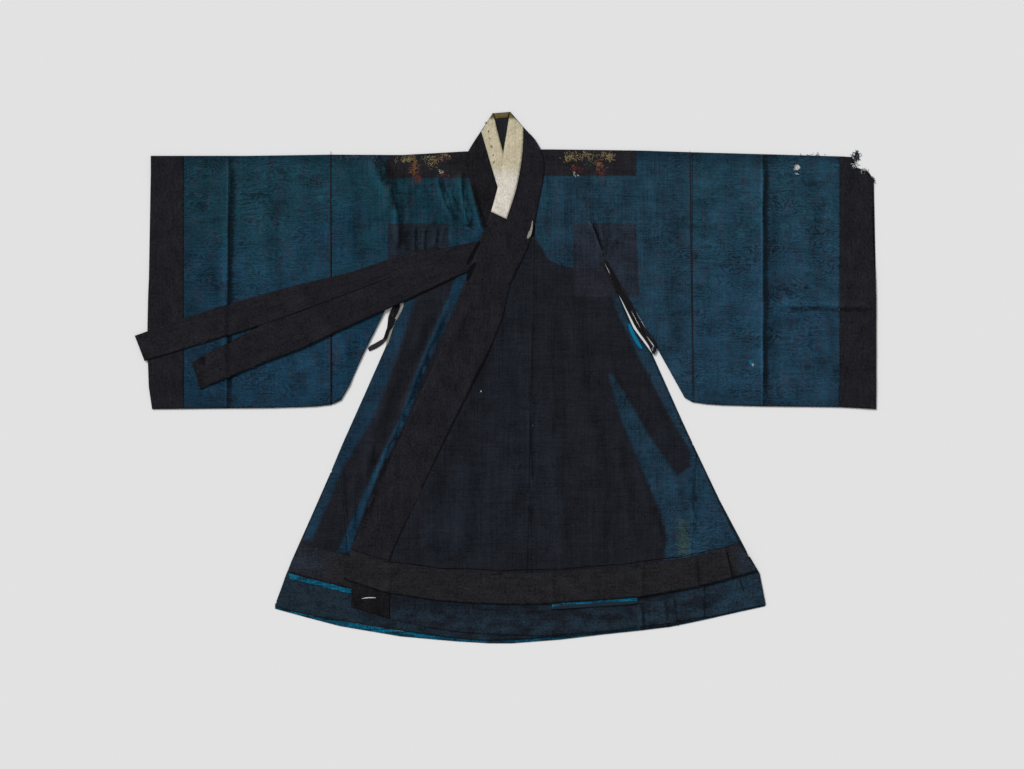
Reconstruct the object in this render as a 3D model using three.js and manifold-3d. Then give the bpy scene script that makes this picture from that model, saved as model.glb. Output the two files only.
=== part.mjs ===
// A ceremonial court robe of silk gauze, laid flat and seen from above.
// Millimetres. X runs from the wearer's right sleeve (negative) to the left one, Y from the hem to the
// collar, Z up from the surface that the robe lies on. X = 0 is the centre back seam and Y = 0 the
// shoulder fold until the finished robe is moved to the middle of its own footprint.
import * as THREE from "three";
import Module from "manifold-3d";

const { lerp, smoothstep } = THREE.MathUtils;

// Driving sizes
const WALL = 1; // every cloth wall
const GAP = 0.3; // between pieces at seams, and between plies
const PLY = WALL + GAP;
const LOOM_HALF = 440; // a body panel is one loom width
const SLEEVE_END = 800; // centre back seam to the cuff seam
const HEM_BAND = 78;
const FRONT_TOP = 12; // the front ply is flat from here below the shoulder fold
const GORE_TOP = -743; // the side gores start here, where the side edge meets the selvedge
const OVERLAP_TOP = -205;
const INNER_OVERLAP_TOP = -228;

// Heights of the plies' undersides, from the surface up
const Z_LINING_BACK = PLY;
const Z_PATCH = PLY;
const Z_FRONT = 2 * PLY;
const Z_OVERLAP_RISE = PLY; // the left front rides over the inner overlap
const Z_HEM_RISE = 2 * PLY; // and over the hem band and the lining
const Z_LINING_LEFT = 4 * PLY;
const OUTER_HEM_SHARE = 0.6; // of that rise, which the hem loses at the side

// Distances over which a ply eases from one height to the next
const EASE = {
  belowShoulder: { from: 4, to: 40 },
  pastFrontEdge: { from: 22, to: 70 },
  pastInnerEdge: { from: 22, to: 90 },
  overInnerOverlap: { from: 120, to: 200 },
  overHem: { from: 880, to: 965 },
  hemSide: { from: 480, to: 590 },
  fromUnderarm: { from: 2, to: 45 },
  fromPatch: { from: 318, to: 370 },
  foldEnd: { from: 0, to: 0.18 }, // shares of a fold's length
  collarBack: { from: 12, to: 62 },
  collarCrossing: { from: 0, to: 50 },
  crossingTop: { from: 6, to: 44 },
  crossingFoot: { from: -245, to: -198 },
  pastRightHem: { from: 6, to: 40 },
  pastCuff: { from: 900, to: 920 },
  ontoUnderTie: { from: -760, to: -670 },
  tieToRoot: { from: -160, to: -108 },
};

// Outlines, each a table of points from left to right or from top to bottom
const SHOULDER_LINE = [
  { x: -886, y: -7 },
  { x: -640, y: -7 },
  { x: -440, y: -4 },
  { x: -268, y: -5 },
  { x: -110, y: 4 },
  { x: 71, y: 9 },
  { x: 309, y: 6 },
  { x: 434, y: 2 },
  { x: 722, y: -6 },
  { x: 886, y: -11 },
];
const UNDERARM_RIGHT = [
  { x: -890, y: -625 },
  { x: -588, y: -622 },
  { x: -482, y: -619 },
  { x: -440, y: -614 },
  { x: -417, y: -603 },
  { x: -397, y: -568 },
  { x: -364, y: -493 },
  { x: -305, y: -375 },
  { x: -261, y: -266 },
];
const UNDERARM_LEFT = [
  { x: 222, y: -261 },
  { x: 303, y: -387 },
  { x: 349, y: -468 },
  { x: 386, y: -534 },
  { x: 421, y: -597 },
  { x: 444, y: -610 },
  { x: 498, y: -615 },
  { x: 610, y: -618 },
  { x: 798, y: -620 },
  { x: 890, y: -625 },
];
const CUFF_EDGE_RIGHT = [
  { y: 0, x: -881 },
  { y: -215, x: -881 },
  { y: -334, x: -887 },
  { y: -452, x: -890 },
  { y: -570, x: -886 },
  { y: -625, x: -878 },
];
const CUFF_EDGE_LEFT = [
  { y: 0, x: 882 },
  { y: -156, x: 880 },
  { y: -251, x: 882 },
  { y: -322, x: 888 },
  { y: -625, x: 888 },
];
const SIDE_RIGHT = [
  { y: -266, x: -260 },
  { y: -361, x: -261 },
  { y: -459, x: -298 },
  { y: -588, x: -355 },
  { y: -711, x: -410 },
  { y: -742, x: -423 },
  { y: -793, x: -444 },
  { y: -1025, x: -547 },
  { y: -1111, x: -577 },
];
const SIDE_LEFT = [
  { y: -261, x: 223 },
  { y: -427, x: 292 },
  { y: -488, x: 337 },
  { y: -656, x: 412 },
  { y: -742, x: 452 },
  { y: -930, x: 542 },
  { y: -1021, x: 600 },
  { y: -1105, x: 616 },
];
const BACK_HEM = [
  { x: -581, y: -1111 },
  { x: -493, y: -1135 },
  { x: -420, y: -1154 },
  { x: -273, y: -1179 },
  { x: -139, y: -1191 },
  { x: -56, y: -1196 },
  { x: 0, y: -1196 },
  { x: 117, y: -1187 },
  { x: 227, y: -1174 },
  { x: 312, y: -1165 },
  { x: 386, y: -1156 },
  { x: 459, y: -1141 },
  { x: 556, y: -1119 },
  { x: 620, y: -1105 },
];
const RIGHT_HEM = [
  { x: -547, y: -1025 },
  { x: -378, y: -1066 },
  { x: -200, y: -1083 },
  { x: 0, y: -1090 },
  { x: 200, y: -1080 },
  { x: 385, y: -1045 },
];
const LEFT_HEM = [
  { x: -413, y: -1042 },
  { x: -321, y: -1071 },
  { x: -184, y: -1091 },
  { x: -61, y: -1100 },
  { x: 63, y: -1101 },
  { x: 172, y: -1093 },
  { x: 309, y: -1084 },
  { x: 446, y: -1060 },
  { x: 600, y: -1021 },
];
const LINING_LEFT_HEM = [
  { x: -392, y: -1108 },
  { x: -297, y: -1137 },
  { x: -200, y: -1158 },
  { x: -139, y: -1168 },
  { x: -78, y: -1173 },
  { x: 68, y: -1179 },
  { x: 227, y: -1168 },
  { x: 312, y: -1158 },
  { x: 470, y: -1132 },
];
const LINING_BACK_INSET = [
  { x: -581, inset: 1.5 },
  { x: -500, inset: 4 },
  { x: -440, inset: 12 },
  { x: -300, inset: 14 },
  { x: -190, inset: 10 },
  { x: -90, inset: 5 },
  { x: -40, inset: 6 },
  { x: 40, inset: 9 },
  { x: 120, inset: 7 },
  { x: 180, inset: 3 },
  { x: 620, inset: 1.5 },
];

// Long edges that run down the robe: x at each height
const LEFT_FRONT_EDGE = [
  { y: -205, x: -78 },
  { y: -280, x: -102 },
  { y: -478, x: -174 },
  { y: -711, x: -280 },
  { y: -821, x: -328 },
  { y: -971, x: -393 },
  { y: -1042, x: -413 },
];
const LEFT_OVERLAP_SEAM = [
  { y: -205, x: 56 },
  { y: -1101, x: 36 },
];
const TRIM_WIDTH = [
  { y: -205, width: 103 },
  { y: -320, width: 112 },
  { y: -403, width: 124 },
  { y: -952, width: 102 },
  { y: -1100, width: 100 },
];
const INNER_FRONT_EDGE = [
  { y: -225, x: 62 },
  { y: -281, x: 100 },
  { y: -547, x: 246 },
  { y: -993, x: 364 },
  { y: -1045, x: 385 },
];
const RIGHT_FRONT_CENTRE = [
  { y: 0, x: -GAP / 2 },
  { y: -614, x: -4 },
  { y: -1090, x: 18 },
];
const RIGHT_FRONT_SELVEDGE = [
  { y: 0, x: -LOOM_HALF },
  { y: -614, x: -438 },
  { y: -742, x: -421 },
  { y: -964, x: -401 },
  { y: -1064, x: -397 },
];
const LEFT_FRONT_CENTRE = [
  { y: 0, x: GAP / 2 },
  { y: -120, x: 57 },
  { y: -205, x: 56 + GAP },
  { y: -1101, x: 36 + GAP },
];
const LEFT_FRONT_SELVEDGE = [
  { y: 0, x: LOOM_HALF },
  { y: -614, x: LOOM_HALF },
  { y: -742, x: 450 },
  { y: -978, x: 439 },
  { y: -1064, x: 438 },
];

// Creases and soft folds of the upper plies: a line, its half width and how high it rises
const RIGHT_FOLDS = [
  { x1: -688, y1: -20, x2: -697, y2: -610, half: 26, rise: 3.4 }, // storage crease across the sleeve
  { x1: -742, y1: -40, x2: -750, y2: -600, half: 40, rise: 1.4 },
  { x1: -640, y1: -40, x2: -560, y2: -560, half: 60, rise: 1.6 },
  { x1: -520, y1: -60, x2: -540, y2: -600, half: 50, rise: 1.8 },
  { x1: -450, y1: -30, x2: -470, y2: -330, half: 45, rise: 2 },
  { x1: -355, y1: -15, x2: -275, y2: -235, half: 34, rise: 3.2 }, // shoulder waves
  { x1: -300, y1: -25, x2: -235, y2: -230, half: 30, rise: 2.4 },
  { x1: -240, y1: -40, x2: -190, y2: -250, half: 32, rise: 2 },
  { x1: -181, y1: -40, x2: -148, y2: -175, half: 30, rise: 3 }, // beside the collar
  { x1: -395, y1: -330, x2: -420, y2: -590, half: 34, rise: 2.2 },
  { x1: -200, y1: -420, x2: -300, y2: -760, half: 40, rise: 2.4 }, // down the right front
  { x1: -280, y1: -470, x2: -420, y2: -830, half: 32, rise: 1.8 },
  { x1: -400, y1: -790, x2: -470, y2: -1010, half: 34, rise: 2.2 },
];
const LEFT_FOLDS = [
  { x1: 610, y1: -15, x2: 610, y2: -612, half: 24, rise: 3.4 }, // storage crease across the sleeve
  { x1: 640, y1: -374, x2: 886, y2: -374, half: 30, rise: 1.8 }, // and the one along it
  { x1: 720, y1: -60, x2: 700, y2: -600, half: 55, rise: 1.4 },
  { x1: 530, y1: -50, x2: 515, y2: -590, half: 50, rise: 1.8 },
  { x1: 455, y1: -30, x2: 470, y2: -560, half: 45, rise: 1.6 },
  { x1: 360, y1: -20, x2: 330, y2: -300, half: 50, rise: 2.2 }, // from the shoulder to the armpit
  { x1: 170, y1: -120, x2: 226, y2: -250, half: 36, rise: 2.6 },
  { x1: 250, y1: -90, x2: 250, y2: -240, half: 34, rise: 1.8 },
  { x1: 130, y1: -240, x2: 70, y2: -520, half: 55, rise: 2 }, // down the left front
  { x1: 230, y1: -400, x2: 330, y2: -860, half: 60, rise: 2.6 },
  { x1: 300, y1: -560, x2: 440, y2: -930, half: 44, rise: 2.2 },
  { x1: -60, y1: -420, x2: -190, y2: -900, half: 60, rise: 2.2 },
  { x1: 90, y1: -560, x2: 110, y2: -960, half: 55, rise: 2 },
  { x1: 0, y1: -620, x2: -50, y2: -1040, half: 50, rise: 1.6 },
  { x1: -230, y1: -720, x2: -310, y2: -960, half: 44, rise: 1.6 },
  { x1: 190, y1: -820, x2: 215, y2: -1060, half: 44, rise: 1.8 },
  { x1: 312, y1: -900, x2: 322, y2: -1080, half: 34, rise: 1.8 },
  { x1: 440, y1: -880, x2: 452, y2: -1055, half: 34, rise: 1.6 },
];
const TIE_ROOT = { x: -95, y: -250, reach: 72, rise: 3 }; // the long tie is sewn under the front edge here

// Value of a table at a place, by straight lines between its rows
function at(table, key, value, place) {
  const rising = table[table.length - 1][key] > table[0][key];
  let row = 1;
  while (row < table.length - 1 && (rising ? place > table[row][key] : place < table[row][key])) {
    row += 1;
  }
  const from = table[row - 1];
  const to = table[row];
  return lerp(from[value], to[value], (place - from[key]) / (to[key] - from[key]));
}

const xAt = (table, y) => at(table, "y", "x", y);
const yAt = (table, x) => at(table, "x", "y", x);
const eased = (value, { from, to }) => smoothstep(value, from, to);

// Distance from a point to a table's polyline
function distanceTo(table, x, y) {
  let nearest = Infinity;
  for (let row = 1; row < table.length; row += 1) {
    const a = table[row - 1];
    const dx = table[row].x - a.x;
    const dy = table[row].y - a.y;
    const t = THREE.MathUtils.clamp(((x - a.x) * dx + (y - a.y) * dy) / (dx * dx + dy * dy), 0, 1);
    nearest = Math.min(nearest, Math.hypot(x - a.x - t * dx, y - a.y - t * dy));
  }
  return nearest;
}

// Height that the folds of a table add at a point
function foldRise(folds, x, y) {
  let height = 0;
  for (const fold of folds) {
    const dx = fold.x2 - fold.x1;
    const dy = fold.y2 - fold.y1;
    const length = Math.hypot(dx, dy);
    const t = ((x - fold.x1) * dx + (y - fold.y1) * dy) / (length * length);
    const off = Math.abs((x - fold.x1) * dy - (y - fold.y1) * dx) / length;
    if (t > 0 && t < 1 && off < fold.half) {
      const across = Math.cos((Math.PI / 2) * (off / fold.half)) ** 2;
      const ends = eased(t, EASE.foldEnd) * eased(1 - t, EASE.foldEnd);
      height += fold.rise * across * ends;
    }
  }
  return height;
}

// How far the upper ply comes down near the underarm seam, clear of the patches at the armpit
function seamDip(table, x, y) {
  const away = eased(Math.abs(x), EASE.fromPatch);
  return PLY * away * (1 - eased(distanceTo(table, x, y), EASE.fromUnderarm));
}

// Undersides of the plies that show
function rightFrontZ(x, y) {
  const clearOfFold = eased(yAt(SHOULDER_LINE, x) - y, EASE.belowShoulder);
  const uncovered = eased(xAt(LEFT_FRONT_EDGE, y) - x, EASE.pastFrontEdge);
  const folds = foldRise(RIGHT_FOLDS, x, y) * clearOfFold * uncovered;
  return Z_FRONT - seamDip(UNDERARM_RIGHT, x, y) + folds;
}

function leftFrontZ(x, y) {
  const clearOfFold = eased(yAt(SHOULDER_LINE, x) - y, EASE.belowShoulder);
  const beyond = x - xAt(INNER_FRONT_EDGE, y);
  const overInner = eased(-y, EASE.overInnerOverlap) * (1 - eased(beyond, EASE.pastInnerEdge));
  const overHem = eased(-y, EASE.overHem);
  const outerSide = overHem * eased(x, EASE.hemSide);
  const root = Math.hypot(x - TIE_ROOT.x, y - TIE_ROOT.y) / TIE_ROOT.reach;
  return (
    Z_FRONT -
    seamDip(UNDERARM_LEFT, x, y) +
    Z_OVERLAP_RISE * Math.max(overInner, overHem) +
    (Z_HEM_RISE + GAP) * overHem -
    Z_HEM_RISE * outerSide * OUTER_HEM_SHARE +
    TIE_ROOT.rise * Math.exp(-root * root) +
    foldRise(LEFT_FOLDS, x, y) * clearOfFold
  );
}

// Point of a flat ply, on its outer skin and its inner skin
function flatPoint(x, y, z) {
  return { outer: new THREE.Vector3(x, y, z + WALL), inner: new THREE.Vector3(x, y, z) };
}

// One closed wall from rows of points that all have an outer and an inner place
function wallOf(rows) {
  const across = rows[0].length;
  const down = rows.length;
  const positions = [];
  for (const skin of ["outer", "inner"]) {
    for (const row of rows) {
      for (const point of row) positions.push(...point[skin].toArray());
    }
  }
  const index = (r, c, skin) => skin * across * down + r * across + c;
  const faces = [];
  const quad = (a, b, c, d) => faces.push(a, b, c, a, c, d);
  for (let r = 0; r < down - 1; r += 1) {
    for (let c = 0; c < across - 1; c += 1) {
      quad(index(r, c, 0), index(r + 1, c, 0), index(r + 1, c + 1, 0), index(r, c + 1, 0));
      quad(index(r, c, 1), index(r, c + 1, 1), index(r + 1, c + 1, 1), index(r + 1, c, 1));
    }
  }
  for (let r = 0; r < down - 1; r += 1) {
    const last = across - 1;
    quad(index(r, 0, 0), index(r, 0, 1), index(r + 1, 0, 1), index(r + 1, 0, 0));
    quad(index(r, last, 0), index(r + 1, last, 0), index(r + 1, last, 1), index(r, last, 1));
  }
  for (let c = 0; c < across - 1; c += 1) {
    const last = down - 1;
    quad(index(0, c, 0), index(0, c + 1, 0), index(0, c + 1, 1), index(0, c, 1));
    quad(index(last, c, 0), index(last, c, 1), index(last, c + 1, 1), index(last, c + 1, 0));
  }
  return facingOut(positions, faces);
}

// A geometry with its faces turned outward, told by the sign of its volume
function facingOut(positions, faces) {
  const corner = (n) => new THREE.Vector3().fromArray(positions, 3 * n);
  let volume = 0;
  for (let f = 0; f < faces.length; f += 3) {
    volume += corner(faces[f]).dot(corner(faces[f + 1]).cross(corner(faces[f + 2])));
  }
  const turned = [...faces];
  if (volume < 0) {
    for (let f = 0; f < turned.length; f += 3) {
      turned[f] = faces[f + 1];
      turned[f + 1] = faces[f];
    }
  }
  const geometry = new THREE.BufferGeometry();
  geometry.setAttribute("position", new THREE.Float32BufferAttribute(positions, 3));
  geometry.setIndex(turned);
  return geometry;
}

// Even steps from one value to another, both ends included
function steps(from, to, count) {
  return Array.from({ length: count + 1 }, (_, n) => lerp(from, to, n / count));
}

// A cloth folded over the shoulder line: the back ply from its hem up, round the fold, and the front
// ply down to its own hem. The columns are shares of its width.
function foldedCloth({ shares, backX, frontX, backHem, frontHem, frontZ, backRows, frontRows }) {
  const rows = [];
  for (const v of backRows) {
    rows.push(
      shares.map((u) => {
        const x = backX(u, 0);
        const top = yAt(SHOULDER_LINE, x) - Z_FRONT / 2;
        const y = lerp(top, backHem(x), v);
        const place = backX(u, y);
        return { outer: new THREE.Vector3(place, y, 0), inner: new THREE.Vector3(place, y, WALL) };
      }),
    );
  }
  const radius = (Z_FRONT + WALL) / 2;
  for (const angle of steps(-Math.PI / 2, Math.PI / 2, 4)) {
    rows.push(
      shares.map((u) => {
        const x = frontX(u, 0);
        const middle = yAt(SHOULDER_LINE, x) - radius;
        const point = (r) =>
          new THREE.Vector3(x, middle + r * Math.cos(angle), radius + r * Math.sin(angle));
        return { outer: point(radius), inner: point(radius - WALL) };
      }),
    );
  }
  const front = frontRows.map((rowOf) =>
    shares.map((u) => {
      const guess = frontX(u, rowOf(frontX(u, 0)));
      const y = rowOf(guess);
      const x = frontX(u, y);
      return flatPoint(x, y, frontZ(x, y));
    }),
  );
  rows.push(...front);
  return { geometry: wallOf(rows), front };
}

const frontTop = (x) => yAt(SHOULDER_LINE, x) - FRONT_TOP;

// Rows of a front ply: even down to the hem band, then the band's top, middle and hem
function rowsToHem(hem, count, topY) {
  const bandTop = (x) => yAt(hem, x) + HEM_BAND;
  const top = topY ?? frontTop;
  return [
    ...steps(0, 1, count).map((v) => (x) => lerp(top(x), bandTop(x), v)),
    (x) => yAt(hem, x) + HEM_BAND / 2,
    (x) => yAt(hem, x),
  ];
}

const MIDDLE_Y = -600; // half way down the robe, where the search for a row's place starts

// A flat ply between two long edges, with rows that follow a hem
function flatPly({ shares, edges, rows, z }) {
  return rows.map((rowOf) =>
    shares.map((u) => {
      const guess = edges(u, rowOf(edges(u, MIDDLE_Y)));
      const y = rowOf(guess);
      const x = edges(u, y);
      return flatPoint(x, y, z(x, y));
    }),
  );
}

// Points of a ply moved up onto it
function movedUp(rows) {
  const up = new THREE.Vector3(0, 0, PLY);
  return rows.map((row) =>
    row.map((point) => ({ outer: point.outer.clone().add(up), inner: point.inner.clone().add(up) })),
  );
}

// The last rows of plies that are sewn side by side, as one band
function joinedHems(plies) {
  return [-3, -2, -1].map((n) => plies.flatMap((ply, order) => ply.at(n).slice(order ? 1 : 0)));
}

// Rows of a band that starts just below the trim's lowest row
function clearOfTrim([top, ...rest]) {
  const down = new THREE.Vector3(0, -GAP, 0);
  const lowered = top.map(({ outer, inner }) => ({
    outer: outer.clone().add(down),
    inner: inner.clone().add(down),
  }));
  return [lowered, ...rest];
}

// A long narrow ply through rows with two ends each, smooth along both edges
function strip({ rows, along, across, z }) {
  const corners = (a, b) => rows.map((row) => new THREE.Vector3(row[a], row[b], 0));
  const edge = (a, b) => new THREE.CatmullRomCurve3(corners(a, b));
  const first = edge("x1", "y1");
  const second = edge("x2", "y2");
  return wallOf(
    steps(0, 1, along).map((t) => {
      const a = first.getPoint(t);
      const b = second.getPoint(t);
      return steps(0, 1, across).map((s) => {
        const point = new THREE.Vector3().lerpVectors(a, b, s);
        return flatPoint(point.x, point.y, z(point.x, point.y));
      });
    }),
  );
}

// A narrow tie along points that each have their own height
function narrowTie(points, width, count) {
  const route = new THREE.CatmullRomCurve3(points.map((p) => new THREE.Vector3(p.x, p.y, p.z)));
  return wallOf(
    steps(0, 1, count).map((t) => {
      const middle = route.getPoint(t);
      const way = route.getTangent(t);
      const aside = new THREE.Vector3(-way.y, way.x, 0).setLength(width / 2);
      return [-1, 0, 1].map((side) =>
        flatPoint(middle.x + side * aside.x, middle.y + side * aside.y, middle.z),
      );
    }),
  );
}

// Cutting with upright prisms
const wasm = await Module();
wasm.setup();

function solidOf(geometry) {
  return new wasm.Manifold(
    new wasm.Mesh({
      numProp: 3,
      vertProperties: new Float32Array(geometry.getAttribute("position").array),
      triVerts: new Uint32Array(geometry.index.array),
    }),
  );
}

function geometryOf(solid) {
  const mesh = solid.getMesh();
  const geometry = new THREE.BufferGeometry();
  geometry.setAttribute("position", new THREE.Float32BufferAttribute(mesh.vertProperties, 3));
  geometry.setIndex(Array.from(mesh.triVerts));
  return geometry;
}

function prism(outline, low, high) {
  const ring = outline.map(({ x, y }) => new THREE.Vector2(x, y));
  if (THREE.ShapeUtils.isClockWise(ring)) ring.reverse();
  const count = ring.length;
  const positions = [low, high].flatMap((z) => ring.flatMap((point) => [point.x, point.y, z]));
  const faces = [];
  for (const [a, b, c] of THREE.ShapeUtils.triangulateShape(ring, [])) {
    faces.push(a, c, b, a + count, b + count, c + count);
  }
  for (let n = 0; n < count; n += 1) {
    const next = (n + 1) % count;
    faces.push(n, next, next + count, n, next + count, n + count);
  }
  return facingOut(positions, faces);
}

function cut(geometry, prisms) {
  return geometryOf(prisms.reduce((solid, tool) => solid.subtract(solidOf(tool)), solidOf(geometry)));
}

const BELOW_ALL = -5;
const ABOVE_BACK = WALL + GAP / 2;
const ABOVE_ALL = 40;
const OUTSIDE_X = 480;
const BACK_OUTSET = 4; // the back's side edge shows just outside the front's
const PAST_LOOM = 5;

// The space under an arm, between the sleeve's curve and the body's side edge
function underarmSpace({ underarm, side, sign, outset, selvedge }) {
  const curve = underarm.filter((point) => Math.abs(point.x) < LOOM_HALF + PAST_LOOM);
  const upward = sign < 0 ? curve : [...curve].reverse();
  const edge = [];
  for (const point of side.slice(1)) {
    edge.push({ x: point.x + sign * outset, y: point.y });
    if (Math.abs(point.x) + outset >= selvedge) break;
  }
  return [
    ...upward,
    ...edge,
    { x: sign * OUTSIDE_X, y: edge.at(-1).y },
    { x: sign * OUTSIDE_X, y: upward[0].y },
  ];
}

function underarmPrisms(underarm, side, sign, frontSelvedge) {
  const shared = { underarm, side, sign };
  const front = underarmSpace({ ...shared, outset: 0, selvedge: frontSelvedge });
  const back = underarmSpace({ ...shared, outset: BACK_OUTSET, selvedge: LOOM_HALF });
  return [prism(front, ABOVE_BACK, ABOVE_ALL), prism(back, BELOW_ALL, ABOVE_BACK)];
}

const NECK_FRONT = [
  { x: -95, y: 30 },
  { x: -97, y: -17 },
  { x: -88, y: -60 },
  { x: -70, y: -127 },
  { x: -48, y: -185 },
  { x: -15, y: -226 },
  { x: 40, y: -226 },
  { x: 52, y: -127 },
  { x: 62, y: -54 },
  { x: 64, y: -17 },
  { x: 60, y: 30 },
];
const NECK_BACK = [
  { x: -99, y: 30 },
  { x: -98, y: -8 },
  { x: 61, y: -8 },
  { x: 60, y: 30 },
];
const neckPrisms = [prism(NECK_FRONT, ABOVE_BACK, ABOVE_ALL), prism(NECK_BACK, BELOW_ALL, ABOVE_BACK)];

// Materials
const CLOTH = {
  gauze: 0x14384a,
  body: 0x1e1f2a,
  trim: 0x242226,
  lining: 0x23404d,
  facing: 0x0478a5,
  white: 0xded4b6,
};

const robe = new THREE.Group();
robe.name = "robe";

function piece(name, geometry, cloth) {
  geometry.computeVertexNormals();
  const material = new THREE.MeshStandardMaterial({
    color: CLOTH[cloth],
    roughness: 0.8,
    metalness: 0,
  });
  const mesh = new THREE.Mesh(geometry, material);
  mesh.name = name;
  robe.add(mesh);
}

// Body panels: front and back in one, over the shoulder
const BODY_SHARES = steps(0, 1, 15);
const BODY_FRONT_ROWS = 21;
const BACK_ROWS = [1, 0.7, 0.35, 0.03];
const FACING_SHOWN = 13; // of each bright facing, below the edge that it is sewn to
const backHem = (x) => yAt(BACK_HEM, x) + FACING_SHOWN + GAP;

const bodyRight = foldedCloth({
  shares: BODY_SHARES,
  backX: (u) => lerp(-LOOM_HALF, -GAP / 2, u),
  frontX: (u, y) => lerp(xAt(RIGHT_FRONT_SELVEDGE, y), xAt(RIGHT_FRONT_CENTRE, y), u),
  backHem,
  frontZ: rightFrontZ,
  backRows: BACK_ROWS,
  frontRows: rowsToHem(RIGHT_HEM, BODY_FRONT_ROWS),
});
const bodyLeft = foldedCloth({
  shares: BODY_SHARES,
  backX: (u) => lerp(GAP / 2, LOOM_HALF, u),
  frontX: (u, y) => lerp(xAt(LEFT_FRONT_CENTRE, y), xAt(LEFT_FRONT_SELVEDGE, y), u),
  backHem,
  frontZ: leftFrontZ,
  backRows: BACK_ROWS,
  frontRows: rowsToHem(LEFT_HEM, BODY_FRONT_ROWS),
});
const RIGHT_SELVEDGE_LOW = 421;
const LEFT_SELVEDGE_LOW = 450;
const rightSpace = underarmPrisms(UNDERARM_RIGHT, SIDE_RIGHT, -1, RIGHT_SELVEDGE_LOW);
const leftSpace = underarmPrisms(UNDERARM_LEFT, SIDE_LEFT, 1, LEFT_SELVEDGE_LOW);
piece("body_panel_right", cut(bodyRight.geometry, [...rightSpace, ...neckPrisms]), "body");
piece("body_panel_left", cut(bodyLeft.geometry, [...leftSpace, ...neckPrisms]), "body");

// Side gores, from where the side edge meets the selvedge down to the hem
const GORE_SHARES = steps(0, 1, 4);
const GORE_ROWS = 5;

const goreFrontRight = flatPly({
  shares: GORE_SHARES,
  edges: (u, y) => lerp(xAt(SIDE_RIGHT, y), xAt(RIGHT_FRONT_SELVEDGE, y) - GAP, u),
  rows: rowsToHem(RIGHT_HEM, GORE_ROWS, () => GORE_TOP),
  z: rightFrontZ,
});
const goreFrontLeft = flatPly({
  shares: GORE_SHARES,
  edges: (u, y) => lerp(xAt(LEFT_FRONT_SELVEDGE, y) + GAP, xAt(SIDE_LEFT, y), u),
  rows: rowsToHem(LEFT_HEM, GORE_ROWS, () => GORE_TOP),
  z: leftFrontZ,
});
piece("gore_front_right", wallOf(goreFrontRight), "body");
piece("gore_front_left", wallOf(goreFrontLeft), "gauze");

function backGore(side, sign, apex) {
  const seam = sign * (LOOM_HALF + GAP);
  return flatPly({
    shares: steps(0, 1, 2),
    edges: (u, y) => lerp(seam, xAt(side, y) + sign * BACK_OUTSET, u),
    rows: steps(0, 1, 3).map((v) => (x) => lerp(apex, backHem(x), v)),
    z: () => 0,
  });
}
const BACK_GORE_RIGHT_TOP = -779;
const BACK_GORE_LEFT_TOP = -712;
piece("gore_back_right", wallOf(backGore(SIDE_RIGHT, -1, BACK_GORE_RIGHT_TOP)), "lining");
piece("gore_back_left", wallOf(backGore(SIDE_LEFT, 1, BACK_GORE_LEFT_TOP)), "lining");

// Overlap gores: the left front's wide one, and the inner one that it covers
const TRIM_SHARE = 0.8; // of the overlap's width at most
const trimWidth = (y) => {
  const whole = xAt(LEFT_OVERLAP_SEAM, y) - xAt(LEFT_FRONT_EDGE, y);
  return Math.min(at(TRIM_WIDTH, "y", "width", y), TRIM_SHARE * whole);
};
const OVERLAP_SHARES = [0, 0.5, 1, 1.2, 1.4, 1.6, 1.8, 2]; // up to 1 lies under the edge trim
const OVERLAP_ROWS = 21;
const INNER_OVERLAP_ROWS = 7;
const TRIM_FIRST_ROW = 3;

function overlapX(u, y) {
  const edge = xAt(LEFT_FRONT_EDGE, y);
  const trim = edge + trimWidth(y);
  return u <= 1 ? lerp(edge, trim, u) : lerp(trim, xAt(LEFT_OVERLAP_SEAM, y), u - 1);
}

const overlapLeft = flatPly({
  shares: OVERLAP_SHARES,
  edges: overlapX,
  rows: rowsToHem(LEFT_HEM, OVERLAP_ROWS, () => OVERLAP_TOP),
  z: leftFrontZ,
});
const overlapRight = flatPly({
  shares: steps(0, 1, 5),
  edges: (u, y) => lerp(xAt(RIGHT_FRONT_CENTRE, y) + GAP, xAt(INNER_FRONT_EDGE, y), u),
  rows: rowsToHem(RIGHT_HEM, INNER_OVERLAP_ROWS, () => INNER_OVERLAP_TOP),
  z: rightFrontZ,
});
piece("overlap_left", wallOf(overlapLeft), "body");
piece("overlap_right", wallOf(overlapRight), "body");

// Edge trim and hem bands, made from the points of the plies that they lie on
const trimPoints = overlapLeft.slice(TRIM_FIRST_ROW, -2).map((row) => row.slice(0, 3));
piece("front_trim_left", wallOf(movedUp(trimPoints)), "trim");
const leftHems = joinedHems([overlapLeft, bodyLeft.front, goreFrontLeft]);
const rightHems = joinedHems([goreFrontRight, bodyRight.front, overlapRight]);
piece("hem_band_left", wallOf(movedUp(clearOfTrim(leftHems))), "trim");
piece("hem_band_right", wallOf(movedUp(rightHems)), "trim");

// Sleeves and cuffs: folded at the shoulder line, sewn along the underarm
const RIGHT_SLEEVE_SHARES = [0, 0.1, 0.2, 0.25, 0.3, 0.35, 0.42, 0.51, 0.6, 0.7, 0.8, 0.9, 1];
const LEFT_SLEEVE_SHARES = [0, 0.1, 0.2, 0.3, 0.4, 0.436, 0.472, 0.508, 0.56, 0.65, 0.75, 0.87, 1];
const RIGHT_SLEEVE_ROWS = [0, 0.05, 0.13, 0.23, 0.33, 0.43, 0.53, 0.63, 0.73, 0.83, 0.91, 0.96, 1];
const LEFT_SLEEVE_ROWS = [0, 0.05, 0.13, 0.24, 0.35, 0.46, 0.55, 0.593, 0.636, 0.73, 0.83, 0.91, 0.96, 1];
const SLEEVE_BACK_ROWS = [1, 0.5, 0.03];

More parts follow.
